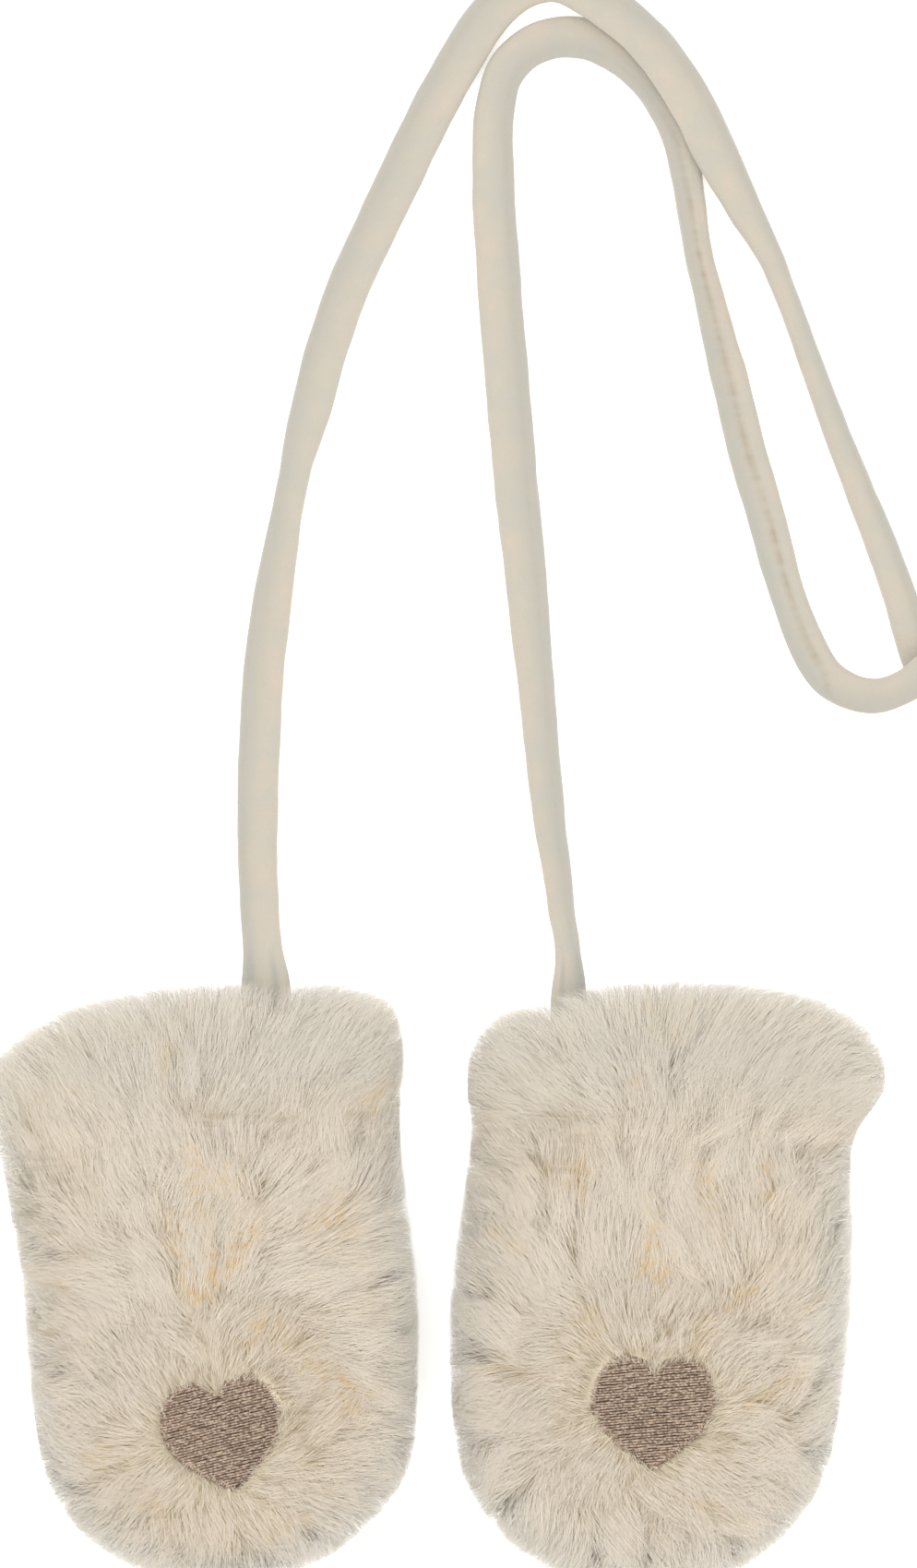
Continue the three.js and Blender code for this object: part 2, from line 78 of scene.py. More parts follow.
# The cord's route: x, y and z of its middle and its width there, all in metres.
INSIDE = 0.0124
ON_TABLE = 0.00255
OVER = 0.00745
CORD_ROUTE = [
    (-0.0373, 0.0580, INSIDE, 0.0100), (-0.0375, 0.0645, INSIDE, 0.0102),
    (-0.0381, 0.0725, 0.0098, 0.0080), (-0.0389, 0.0820, 0.0052, 0.0078),
    (-0.0394, 0.0940, 0.0028, 0.0080), (-0.0394, 0.1060, ON_TABLE, 0.0083),
    (-0.0384, 0.1288, ON_TABLE, 0.0083), (-0.0362, 0.1488, ON_TABLE, 0.0079),
    (-0.0319, 0.1738, ON_TABLE, 0.0060), (-0.0283, 0.1888, ON_TABLE, 0.0081),
    (-0.0208, 0.2138, ON_TABLE, 0.0086), (-0.0094, 0.2388, ON_TABLE, 0.0090),
    (0.0033, 0.2638, ON_TABLE, 0.0090), (0.0138, 0.2788, ON_TABLE, 0.0088),
    (0.0240, 0.2834, 0.0036, 0.0088), (0.0338, 0.2792, 0.0054, 0.0088),
    (0.0455, 0.2696, 0.0070, 0.0089), (0.0546, 0.2566, 0.0070, 0.0090),
    (0.0603, 0.2448, 0.0056, 0.0088), (0.0662, 0.2338, 0.0036, 0.0070),
    (0.0729, 0.2208, ON_TABLE, 0.0047), (0.0848, 0.1888, ON_TABLE, 0.0050),
    (0.0927, 0.1688, ON_TABLE, 0.0060), (0.0986, 0.1538, ON_TABLE, 0.0066),
    (0.1020, 0.1430, ON_TABLE, 0.0070), (0.1058, 0.1320, ON_TABLE, 0.0072),
    (0.1136, 0.1228, ON_TABLE, 0.0072), (0.1246, 0.1184, ON_TABLE, 0.0072),
    (0.1344, 0.1223, ON_TABLE, 0.0072), (0.1386, 0.1322, ON_TABLE, 0.0072),
    (0.1346, 0.1420, ON_TABLE, 0.0072), (0.1248, 0.1460, 0.0028, 0.0072),
    (0.1142, 0.1414, 0.0050, 0.0072), (0.1048, 0.1328, OVER, 0.0068),
    (0.0996, 0.1292, OVER, 0.0066), (0.0942, 0.1276, 0.0050, 0.0070),
    (0.0849, 0.1314, 0.0028, 0.0074), (0.0797, 0.1392, ON_TABLE, 0.0075),
    (0.0760, 0.1488, ON_TABLE, 0.0070), (0.0718, 0.1638, ON_TABLE, 0.0076),
    (0.0675, 0.1788, ON_TABLE, 0.0077), (0.0625, 0.1988, ON_TABLE, 0.0073),
    (0.0572, 0.2198, ON_TABLE, 0.0056), (0.0540, 0.2380, ON_TABLE, 0.0060),
    (0.0516, 0.2520, ON_TABLE, 0.0078), (0.0446, 0.2630, ON_TABLE, 0.0084),
    (0.0340, 0.2700, ON_TABLE, 0.0085), (0.0228, 0.2704, ON_TABLE, 0.0084),
    (0.0144, 0.2638, ON_TABLE, 0.0078), (0.0119, 0.2538, ON_TABLE, 0.0080),
    (0.0117, 0.2388, ON_TABLE, 0.0086), (0.0130, 0.2188, ON_TABLE, 0.0089),
    (0.0153, 0.1888, ON_TABLE, 0.0090), (0.0183, 0.1588, ON_TABLE, 0.0086),
    (0.0211, 0.1288, ON_TABLE, 0.0073), (0.0234, 0.1060, ON_TABLE, 0.0066),
    (0.0249, 0.0940, 0.0028, 0.0059), (0.0265, 0.0820, 0.0054, 0.0052),
    (0.0279, 0.0725, 0.0100, 0.0048), (0.0282, 0.0630, INSIDE, 0.0072),
    (0.0281, 0.0565, INSIDE, 0.0076),
]


# Sizes and colours that a user would change

class StageSettings(bpy.types.PropertyGroup):
    """The camera, the floor and the lamps."""
    camera_height: FloatProperty(name="Camera Height", description="How far the camera is over the mittens",
                                 default=3.404, unit="LENGTH")
    key_power: FloatProperty(name="Key Power", description="Power of the large lamp at the upper left",
                             default=5.0, unit="POWER")
    fill_strength: FloatProperty(name="Fill Strength", description="Strength of the light from all round",
                                 default=1.05)
    table_glow: FloatProperty(name="Table Glow", description="Light that comes up through the table top",
                              default=0.42)
    floor_colour: FloatVectorProperty(name="Floor Colour", description="Colour of the pale table top",
                                      subtype="COLOR", size=4, default=linear("f7f7f7"))


class FurSettings(bpy.types.PropertyGroup):
    """The plush: its backing cloth and its pile."""
    pile_length: FloatProperty(name="Pile Length", description="Length of a long strand",
                               default=13.0 * MM, unit="LENGTH")
    down_length: FloatProperty(name="Down Length", description="Length of a strand of the thick underfur",
                               default=9.5 * MM, unit="LENGTH")
    strand_width: FloatProperty(name="Strand Width", description="Width of a lock of fibres at its root",
                                default=0.09 * MM, unit="LENGTH")
    backing_depth: FloatProperty(name="Backing Depth", description="How deep the backing is in the pile",
                                 default=7.0 * MM, unit="LENGTH")
    strand_count: IntProperty(name="Strands", description="Strands in one layer of a front panel's pile",
                              default=46000)
    seed: IntProperty(name="Seed", description="Picks the random places of the strands", default=7)
    tip_colour: FloatVectorProperty(name="Tip Colour", description="Colour of the strands at their tips",
                                    subtype="COLOR", size=4, default=linear("f1e9dc"))
    root_colour: FloatVectorProperty(name="Root Colour", description="Colour of the strands at their roots",
                                     subtype="COLOR", size=4, default=linear("eedcb8"))


class CordSettings(bpy.types.PropertyGroup):
    """The velour tube that joins the mittens."""
    width: FloatProperty(name="Width", description="Width of the flattened tube along most of its run",
                         default=8.0 * MM, unit="LENGTH")
    round_width: FloatProperty(name="Round Width", description="Width of the tube where it is quite round",
                               default=5.6 * MM, unit="LENGTH")
    plumpness: FloatProperty(name="Plumpness", description="How much wider the pile makes the tube",
                             default=0.6 * MM, unit="LENGTH")
    seam_depth: FloatProperty(name="Seam Depth", description="How deep the seam's groove is",
                              default=0.45 * MM, unit="LENGTH")
    colour: FloatVectorProperty(name="Colour", description="Colour of the velour",
                                subtype="COLOR", size=4, default=linear("b9b4a7"))


class HeartSettings(bpy.types.PropertyGroup):
    """The embroidered hearts."""
    row_spacing: FloatProperty(name="Row Spacing", description="From one row of stitches to the next",
                               default=0.58 * MM, unit="LENGTH")
    stitch_length: FloatProperty(name="Stitch Length", description="Length of one stitch of the filling",
                                 default=2.6 * MM, unit="LENGTH")
    thread_width: FloatProperty(name="Thread Width", description="Width of the embroidery thread",
                                default=0.5 * MM, unit="LENGTH")
    colour: FloatVectorProperty(name="Colour", description="Colour of the thread",
                                subtype="COLOR", size=4, default=linear("937b67"))


class MittenSettings(bpy.types.PropertyGroup):
    """All the settings of the pair."""
    stage: PointerProperty(type=StageSettings)
    fur: PointerProperty(type=FurSettings)
    cord: PointerProperty(type=CordSettings)
    hearts: PointerProperty(type=HeartSettings)


# Meshes and node trees

def smoothstep(low, high, value):
    """0 below low, 1 above high, and a smooth rise between them."""
    share = min(max((value - low) / (high - low), 0.0), 1.0)
    return share * share * (3.0 - 2.0 * share)


def new_object(name, points, faces, smooth=True):
    """A mesh object at the origin with these points and faces."""
    mesh = bpy.data.meshes.new(name)
    mesh.from_pydata([tuple(p) for p in points], [], faces)
    mesh.polygons.foreach_set("use_smooth", [smooth] * len(mesh.polygons))
    obj = bpy.data.objects.new(name, mesh)
    bpy.context.scene.collection.objects.link(obj)
    return obj


def add_attribute(obj, name, kind, values):
    """Stores one number or one vector at each point of the object's mesh."""
    attribute = obj.data.attributes.new(name, kind, "POINT")
    field = "vector" if kind == "FLOAT_VECTOR" else "value"
    attribute.data.foreach_set(field, np.asarray(values, dtype=np.float32).ravel())


def add_node(tree, kind, settings=None, inputs=None):
    """Adds one node: its settings, then its inputs by name or number, each a value or a socket to join."""
    node = tree.nodes.new(kind)
    for name, value in (settings or {}).items():
        setattr(node, name, value)
    for key, value in (inputs or {}).items():
        if isinstance(value, bpy.types.NodeSocket):
            tree.links.new(value, node.inputs[key])
        else:
            node.inputs[key].default_value = value
    return node


def new_tree(name, sockets):
    """A Geometry Nodes tree that takes a geometry and the named inputs, and its input node."""
    tree = bpy.data.node_groups.new(name, "GeometryNodeTree")
    tree.interface.new_socket("Geometry", in_out="OUTPUT", socket_type="NodeSocketGeometry")
    tree.interface.new_socket("Geometry", in_out="INPUT", socket_type="NodeSocketGeometry")
    for socket_name, kind in sockets:
        tree.interface.new_socket(socket_name, in_out="INPUT", socket_type=kind)
    return tree, tree.nodes.new("NodeGroupInput").outputs


def grow(obj, tree, values):
    """Runs the tree on the object with these named inputs and keeps the result as its plain mesh."""
    modifier = obj.modifiers.new(tree.name, "NODES")
    modifier.node_group = tree
    for item in tree.interface.items_tree:
        if item.item_type == "SOCKET" and item.in_out == "INPUT" and item.name in values:
            modifier[item.identifier] = values[item.name]
    evaluated = obj.evaluated_get(bpy.context.evaluated_depsgraph_get())
    mesh = bpy.data.meshes.new_from_object(evaluated)
    obj.modifiers.remove(modifier)
    old = obj.data
    obj.data = mesh
    bpy.data.meshes.remove(old)
    mesh.name = obj.name


def new_material(name):
    """An empty material and its tree."""
    material = bpy.data.materials.new(name)
    material.use_nodes = True
    material.node_tree.nodes.clear()
    return material, material.node_tree


def surface_of(name):
    """What rays hit: the named CAD node's surface."""
    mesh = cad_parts[name].data
    points = [v.co.copy() for v in mesh.vertices]
    faces = [tuple(p.vertices) for p in mesh.polygons]
    return BVHTree.FromPolygons(points, faces)


UP = Vector((0, 0, 1))
DOWN = Vector((0, 0, -1))
# Farther from the table than any piece
RAY_START = 0.08


def surface_hit(surface, x, y, side):
    """The outermost place of the surface over or under a point of the table, and its normal, or two Nones."""
    start = Vector((x, y, RAY_START * side))
    place, normal, _, _ = surface.ray_cast(start, DOWN if side > 0 else UP)
    return place, normal


def height_at(surface, x, y, side):
    """Height of the outermost surface over or under a point of the table, or None beside it."""
    place, _ = surface_hit(surface, x, y, side)
    return None if place is None else place.z


# Materials

def fur_material(name, settings, warm):
    """Faux fur: knitted acrylic pile, brushed, dull and soft, with light going through the fine tips, and
    painted shade in creases, at the edges and round the hearts.
    """
    material, tree = new_material(name)
    place = add_node(tree, "ShaderNodeTexCoord").outputs["Object"]
    along = add_node(tree, "ShaderNodeAttribute", {"attribute_name": "along"}).outputs["Fac"]
    tint = add_node(tree, "ShaderNodeAttribute", {"attribute_name": "tint"}).outputs["Fac"]
    # The dye is a little warmer in patches 10 to 30 mm wide.
    patch = add_node(tree, "ShaderNodeTexNoise", inputs={"Vector": place, "Scale": 62.0, "Detail": 3.0})
    patchy = add_node(tree, "ShaderNodeMapRange", inputs={
        "Value": patch.outputs["Fac"], "From Min": 0.42, "From Max": 0.72, "To Min": 0.0, "To Max": 1.0})
    rise = add_node(tree, "ShaderNodeMapRange", {"interpolation_type": "SMOOTHSTEP"}, {
        "Value": along, "From Min": 0.0, "From Max": 0.5 + 0.1 * warm, "To Min": 0.0, "To Max": 1.0})
    body = add_node(tree, "ShaderNodeMix", {"data_type": "RGBA"}, {
        0: rise.outputs[0], 6: settings.root_colour, 7: settings.tip_colour})
    peach_share = add_node(tree, "ShaderNodeMath", {"operation": "MULTIPLY"}, {
        0: patchy.outputs[0], 1: 0.18 + 0.12 * warm})
    peach = add_node(tree, "ShaderNodeMix", {"data_type": "RGBA"}, {
        0: peach_share.outputs[0], 6: body.outputs[2], 7: linear("f6e3c4")})
    # Where the pile parts, the ochre comes in flecks 2 mm wide that some strands show and others don't.
    fleck_noise = add_node(tree, "ShaderNodeTexNoise", inputs={
        "Vector": place, "Scale": 460.0, "Detail": 2.0})
    streaky = add_node(tree, "ShaderNodeMath", {"operation": "MULTIPLY_ADD"}, {
        0: tint, 1: 0.3, 2: fleck_noise.outputs["Fac"]})
    fleck = add_node(tree, "ShaderNodeMapRange", {"interpolation_type": "SMOOTHSTEP"}, {
        "Value": streaky.outputs[0], "From Min": 0.6, "From Max": 0.78, "To Min": 0.08, "To Max": 1.5})
    parting_here = add_node(tree, "ShaderNodeAttribute", {"attribute_name": "parting"}).outputs["Fac"]
    parting = add_node(tree, "ShaderNodeMath", {"operation": "MULTIPLY"}, {
        0: parting_here, 1: fleck.outputs[0]}).outputs[0]
    # Painted shade: the taupe of creases and gaps lies in level streaks, 7 mm long and 1.5 mm high.
    stretched = add_node(tree, "ShaderNodeMapping", inputs={
        "Vector": place, "Scale": (150.0, 650.0, 150.0)})
    streak_noise = add_node(tree, "ShaderNodeTexNoise", inputs={
        "Vector": stretched.outputs[0], "Scale": 1.0, "Detail": 2.0})
    broken = add_node(tree, "ShaderNodeMath", {"operation": "MULTIPLY_ADD"}, {
        0: tint, 1: 0.2, 2: streak_noise.outputs["Fac"]})
    streak = add_node(tree, "ShaderNodeMapRange", {"interpolation_type": "SMOOTHSTEP"}, {
        "Value": broken.outputs[0], "From Min": 0.5, "From Max": 0.72, "To Min": 0.1, "To Max": 1.2})
    painted_shade_here = add_node(tree, "ShaderNodeAttribute", {"attribute_name": "shade"}).outputs["Fac"]
    shade = add_node(tree, "ShaderNodeMath", {"operation": "MULTIPLY"}, {
        0: painted_shade_here, 1: streak.outputs[0]}).outputs[0]
    # Painted shade: the pile that meets a heart is mixed a little towards a darker d9ccb4.
    pressed = add_node(tree, "ShaderNodeAttribute", {"attribute_name": "pressed"}).outputs["Fac"]
    rim = add_node(tree, "ShaderNodeAttribute", {"attribute_name": "rim"}).outputs["Fac"]
    ochre = add_node(tree, "ShaderNodeMix", {"data_type": "RGBA"}, {
        0: parting, 6: peach.outputs[2], 7: linear("f0d6a4")})
    # Painted shade: taupe mixed in where the shade patches lie.
    taupe = add_node(tree, "ShaderNodeMix", {"data_type": "RGBA"}, {
        0: shade, 6: ochre.outputs[2], 7: linear("c2ad88")})
    # Painted shade: the edge of the pile and the cuffs are mixed to a greyer cream, as bare tips with light
    # through them look greyer.
    tint_share = add_node(tree, "ShaderNodeMath", {"operation": "MULTIPLY"}, {0: tint, 1: 0.2})
    edge_grey_share = add_node(tree, "ShaderNodeMath", {"operation": "MULTIPLY_ADD"}, {
        0: rim, 1: 0.75, 2: tint_share.outputs[0]})
    painted_edge_grey = add_node(tree, "ShaderNodeMix", {"data_type": "RGBA"}, {
        0: edge_grey_share.outputs[0], 6: taupe.outputs[2], 7: linear("e4e1d8")})
    heart_shaded = add_node(tree, "ShaderNodeMix", {"data_type": "RGBA"}, {
        0: pressed, 6: painted_edge_grey.outputs[2], 7: linear("d9ccb4")})
    fibre = add_node(tree, "ShaderNodeBsdfPrincipled", inputs={
        "Base Color": heart_shaded.outputs[2], "Roughness": 0.78, "Sheen Weight": 0.25, "Sheen Roughness": 0.6,
        "Specular IOR Level": 0.25})
    through = add_node(tree, "ShaderNodeBsdfTranslucent", inputs={"Color": heart_shaded.outputs[2]})
    both = add_node(tree, "ShaderNodeMixShader", inputs={
        0: 0.25, 1: fibre.outputs[0], 2: through.outputs[0]})
    add_node(tree, "ShaderNodeOutputMaterial", inputs={"Surface": both.outputs[0]})
    return material


# From one rib of the backing to the next, through which a wave texture of scale 1 turns 20 times
RIB_STEP = 2 * math.pi * 1.2 * MM


def backing_material():
    """The plush's knitted backing: ochre cream with soft ribs, nearly hidden by the pile."""
    material, tree = new_material("knitted backing of the plush")
    place = add_node(tree, "ShaderNodeTexCoord").outputs["Object"]
    ribs = add_node(tree, "ShaderNodeTexWave", {"wave_profile": "SIN", "bands_direction": "X"}, {
        "Vector": place, "Scale": 2 * math.pi / RIB_STEP / 20.0, "Distortion": 1.5, "Detail": 1.0,
        "Detail Scale": 20.0})
    cloud = add_node(tree, "ShaderNodeTexNoise", inputs={"Vector": place, "Scale": 180.0, "Detail": 3.0})
    colour = add_node(tree, "ShaderNodeMix", {"data_type": "RGBA"}, {
        0: cloud.outputs["Fac"], 6: linear("e8dac0"), 7: linear("f2e8d4")})
    bump = add_node(tree, "ShaderNodeBump", inputs={
        "Strength": 0.4, "Distance": 0.3 * MM, "Height": ribs.outputs["Fac"]})
    cloth = add_node(tree, "ShaderNodeBsdfPrincipled", inputs={
        "Base Color": colour.outputs[2], "Roughness": 0.92, "Specular IOR Level": 0.2,
        "Normal": bump.outputs[0]})
    add_node(tree, "ShaderNodeOutputMaterial", inputs={"Surface": cloth.outputs[0]})
    return material


def velour_material(settings):
    """Cotton velour: a knitted cloth with a short cut pile, matt face on and paler at grazing angles."""
    material, tree = new_material("cotton velour")
    place = add_node(tree, "ShaderNodeTexCoord").outputs["Object"]
    seam = add_node(tree, "ShaderNodeAttribute", {"attribute_name": "seam"}).outputs["Fac"]
    fold = add_node(tree, "ShaderNodeAttribute", {"attribute_name": "fold"}).outputs["Fac"]
    # The pile leans in patches about 6 mm long, and its single tufts are about 0.5 mm.
    nap = add_node(tree, "ShaderNodeTexNoise", inputs={"Vector": place, "Scale": 150.0, "Detail": 4.0})
    tuft = add_node(tree, "ShaderNodeTexNoise", inputs={"Vector": place, "Scale": 1900.0, "Detail": 2.0})
    warmth = add_node(tree, "ShaderNodeMapRange", inputs={
        "Value": nap.outputs["Fac"], "From Min": 0.35, "From Max": 0.68, "To Min": 0.0, "To Max": 1.0})
    base = add_node(tree, "ShaderNodeMix", {"data_type": "RGBA"}, {
        0: warmth.outputs[0], 6: settings.colour, 7: linear("c2b6a6")})
    # Painted shade: fold greys one side of the tube and adds dark creases near its ends.
    grey = add_node(tree, "ShaderNodeMix", {"data_type": "RGBA"}, {
        0: fold, 6: base.outputs[2], 7: linear("a9a89e")})
    # The seam's darker colour: partly its own line, partly painted shade in its groove and pucker troughs.
    ochre = add_node(tree, "ShaderNodeMix", {"data_type": "RGBA"}, {
        0: seam, 6: grey.outputs[2], 7: linear("a3927c")})
    height = add_node(tree, "ShaderNodeMath", {"operation": "ADD"}, {
        0: tuft.outputs["Fac"], 1: nap.outputs["Fac"]})
    bump = add_node(tree, "ShaderNodeBump", inputs={
        "Strength": 0.5, "Distance": 0.3 * MM, "Height": height.outputs[0]})
    pile = add_node(tree, "ShaderNodeBsdfPrincipled", inputs={
        "Base Color": ochre.outputs[2], "Roughness": 0.9, "Specular IOR Level": 0.2, "Sheen Weight": 0.45,
        "Sheen Roughness": 0.45, "Normal": bump.outputs[0]})
    add_node(tree, "ShaderNodeOutputMaterial", inputs={"Surface": pile.outputs[0]})
    return material


def thread_material(settings):
    """Rayon embroidery thread: a satin gloss, darker and lighter stitches, and painted glints 0.6 mm long."""
    material, tree = new_material("rayon embroidery thread")
    place = add_node(tree, "ShaderNodeTexCoord").outputs["Object"]
    tint = add_node(tree, "ShaderNodeAttribute", {"attribute_name": "tint"}).outputs["Fac"]
    # Painted highlight: pale glints about 0.6 mm long, mixed into the thread's colour.
    fleck = add_node(tree, "ShaderNodeTexNoise", inputs={"Vector": place, "Scale": 1700.0, "Detail": 1.0})
    painted_glint = add_node(tree, "ShaderNodeMapRange", {"interpolation_type": "SMOOTHSTEP"}, {
        "Value": fleck.outputs["Fac"], "From Min": 0.42, "From Max": 0.6, "To Min": 0.0, "To Max": 1.0})
    shade = add_node(tree, "ShaderNodeMix", {"data_type": "RGBA"}, {
        0: tint, 6: settings.colour, 7: linear("746052")})
    glinted = add_node(tree, "ShaderNodeMix", {"data_type": "RGBA"}, {
        0: painted_glint.outputs[0], 6: shade.outputs[2], 7: linear("b9a490")})
    gloss = add_node(tree, "ShaderNodeBsdfPrincipled", inputs={
        "Base Color": glinted.outputs[2], "Roughness": 0.42, "Specular IOR Level": 0.5,
        "Sheen Weight": 0.1, "Sheen Roughness": 0.4})
    add_node(tree, "ShaderNodeOutputMaterial", inputs={"Surface": gloss.outputs[0]})
    return material


def ground_material():
    """A dull dark brown sheet under the stitches that shows only in the gaps, as painted shade between them.
    """
    material, tree = new_material("dark ground of the embroidery")
    place = add_node(tree, "ShaderNodeTexCoord").outputs["Object"]
    grain = add_node(tree, "ShaderNodeTexNoise", inputs={"Vector": place, "Scale": 1600.0, "Detail": 2.0})
    colour = add_node(tree, "ShaderNodeMix", {"data_type": "RGBA"}, {
        0: grain.outputs["Fac"], 6: linear("41342c"), 7: linear("5c4c41")})
    bump = add_node(tree, "ShaderNodeBump", inputs={
        "Strength": 0.5, "Distance": 0.2 * MM, "Height": grain.outputs["Fac"]})
    ground = add_node(tree, "ShaderNodeBsdfPrincipled", inputs={
        "Base Color": colour.outputs[2], "Roughness": 0.85, "Normal": bump.outputs[0]})
    add_node(tree, "ShaderNodeOutputMaterial", inputs={"Surface": ground.outputs[0]})
    return material


# Geometry Nodes trees

def strand_object(name):
    """A lock of fibres, one unit long, wide and high: a ribbon that rises, bends over and ends in a point."""
    # How far along, how high and how wide
    stations = [(0.0, 0.0, 1.0), (0.36, 0.86, 0.9)]
    points = []
    along = []
    for share, rise, width in stations:
        for edge in (-0.5, 0.5):
            points.append((share, edge * width, rise))
            along.append(share)
    points.append((1.0, 0.0, 1.0))
    along.append(1.0)
    faces = [(0, 2, 3, 1), (2, 4, 3)]
    obj = new_object(name, points, faces)
    add_attribute(obj, "along", "FLOAT", along)
    return obj


def fur_tree():
    """Sets strands on a cloth, each along the cloth's comb direction, turned by swirls, tufts and chance."""
    tree, given = new_tree("comb the pile", [
        ("Strand", "NodeSocketObject"), ("Density", "NodeSocketFloat"), ("Length", "NodeSocketFloat"),
        ("Width", "NodeSocketFloat"), ("Swirl", "NodeSocketFloat"), ("Swirl Scale", "NodeSocketFloat"),
        ("Tuft Turn", "NodeSocketFloat"), ("Tuft Scale", "NodeSocketFloat"),
        ("Tuft Pull", "NodeSocketFloat"),
        ("Stray", "NodeSocketFloat"), ("Lift", "NodeSocketFloat"), ("Floor", "NodeSocketFloat"),
        ("Envelope", "NodeSocketObject"), ("Trim", "NodeSocketFloat"),
        ("Seed", "NodeSocketInt"), ("Material", "NodeSocketMaterial")])
    here = add_node(tree, "GeometryNodeInputPosition").outputs[0]
    thick = add_node(tree, "GeometryNodeInputNamedAttribute", {"data_type": "FLOAT"}, {"Name": "thick"})
    density = add_node(tree, "ShaderNodeMath", {"operation": "MULTIPLY"}, {
        0: given["Density"], 1: thick.outputs[0]})
    roots = add_node(tree, "GeometryNodeDistributePointsOnFaces", {"distribute_method": "RANDOM"}, {
        "Mesh": given["Geometry"], "Density": density.outputs[0], "Seed": given["Seed"]})
    normal = roots.outputs["Normal"]
    comb = add_node(tree, "GeometryNodeInputNamedAttribute", {"data_type": "FLOAT_VECTOR"}, {"Name": "comb"})
    depth = add_node(tree, "GeometryNodeInputNamedAttribute", {"data_type": "FLOAT"}, {"Name": "depth"})
    reach = add_node(tree, "GeometryNodeInputNamedAttribute", {"data_type": "FLOAT"}, {"Name": "reach"})

    # Slow swirls of the whole coat
    swirl_noise = add_node(tree, "ShaderNodeTexNoise", inputs={
        "Vector": here, "Scale": given["Swirl Scale"], "Detail": 2.0})
    swirl_centred = add_node(tree, "ShaderNodeMath", {"operation": "SUBTRACT"}, {
        0: swirl_noise.outputs["Fac"], 1: 0.5})
    swirl_turn = add_node(tree, "ShaderNodeMath", {"operation": "MULTIPLY"}, {
        0: swirl_centred.outputs[0], 1: given["Swirl"]})

    # Tufts: strands whose roots share a cell turn the same way and lean towards its middle
    tufts = add_node(tree, "ShaderNodeTexVoronoi", {"feature": "F1"}, {
        "Vector": here, "Scale": given["Tuft Scale"]})
    tuft_chance = add_node(tree, "ShaderNodeSeparateXYZ", inputs={0: tufts.outputs["Color"]})
    tuft_centred = add_node(tree, "ShaderNodeMath", {"operation": "SUBTRACT"}, {
        0: tuft_chance.outputs[0], 1: 0.5})
    tuft_turn = add_node(tree, "ShaderNodeMath", {"operation": "MULTIPLY"}, {
        0: tuft_centred.outputs[0], 1: given["Tuft Turn"]})
    to_middle = add_node(tree, "ShaderNodeVectorMath", {"operation": "SUBTRACT"}, {
        0: tufts.outputs["Position"], 1: here})
    free = add_node(tree, "GeometryNodeInputNamedAttribute", {"data_type": "FLOAT"}, {"Name": "free"})
    pull_share = add_node(tree, "ShaderNodeMath", {"operation": "MULTIPLY"}, {
        0: given["Tuft Pull"], 1: free.outputs[0]})
    pull = add_node(tree, "ShaderNodeVectorMath", {"operation": "SCALE"}, {
        0: to_middle.outputs[0], "Scale": pull_share.outputs[0]})

    # Each strand's own stray turn, roll, length and tint
    stray = add_node(tree, "FunctionNodeRandomValue", {"data_type": "FLOAT"}, {2: -1.0, 3: 1.0, "Seed": 11})
    stray_turn = add_node(tree, "ShaderNodeMath", {"operation": "MULTIPLY"}, {
        0: stray.outputs[1], 1: given["Stray"]})
    wild_turn = add_node(tree, "ShaderNodeMath", {"operation": "ADD"}, {
        0: swirl_turn.outputs[0], 1: tuft_turn.outputs[0]})
    wild = add_node(tree, "GeometryNodeInputNamedAttribute", {"data_type": "FLOAT"}, {"Name": "wild"})
    turn_of_two = add_node(tree, "ShaderNodeMath", {"operation": "MULTIPLY"}, {
        0: wild_turn.outputs[0], 1: wild.outputs[0]})
    turn = add_node(tree, "ShaderNodeMath", {"operation": "ADD"}, {
        0: turn_of_two.outputs[0], 1: stray_turn.outputs[0]})
    direction = add_node(tree, "ShaderNodeVectorRotate", {"rotation_type": "AXIS_ANGLE"}, {
        "Vector": comb.outputs[0], "Axis": normal, "Angle": turn.outputs[0]})
    lying = add_node(tree, "FunctionNodeAxesToRotation", {"primary_axis": "Z", "secondary_axis": "X"}, {
        0: normal, 1: direction.outputs[0]})
    roll = add_node(tree, "FunctionNodeRandomValue", {"data_type": "FLOAT_VECTOR"}, {
        0: (-0.1, -0.03, 0.0), 1: (0.1, 0.03, 0.0), "Seed": 12})
    rolled = add_node(tree, "FunctionNodeRotateRotation", {"rotation_space": "LOCAL"}, {0: lying.outputs[0]})
    roll_turn = add_node(tree, "FunctionNodeEulerToRotation", inputs={0: roll.outputs[0]})
    tree.links.new(roll_turn.outputs[0], rolled.inputs[1])

    long_chance = add_node(tree, "FunctionNodeRandomValue", {"data_type": "FLOAT"}, {
        2: 0.55, 3: 1.08, "Seed": 13})
    length_here = add_node(tree, "ShaderNodeMath", {"operation": "MULTIPLY"}, {
        0: given["Length"], 1: reach.outputs[0]})
    length = add_node(tree, "ShaderNodeMath", {"operation": "MULTIPLY"}, {
        0: length_here.outputs[0], 1: long_chance.outputs[1]})
    wide_chance = add_node(tree, "FunctionNodeRandomValue", {"data_type": "FLOAT"}, {
        2: 0.6, 3: 1.15, "Seed": 14})
    width = add_node(tree, "ShaderNodeMath", {"operation": "MULTIPLY"}, {
        0: given["Width"], 1: wide_chance.outputs[1]})
    lift_chance = add_node(tree, "FunctionNodeRandomValue", {"data_type": "FLOAT"}, {
        2: 0.86, 3: 1.0, "Seed": 15})
    lift_here = add_node(tree, "ShaderNodeMath", {"operation": "MULTIPLY"}, {
        0: depth.outputs[0], 1: given["Lift"]})
    lift = add_node(tree, "ShaderNodeMath", {"operation": "MULTIPLY"}, {
        0: lift_here.outputs[0], 1: lift_chance.outputs[1]})
    size = add_node(tree, "ShaderNodeCombineXYZ", inputs={
        0: length.outputs[0], 1: width.outputs[0], 2: lift.outputs[0]})

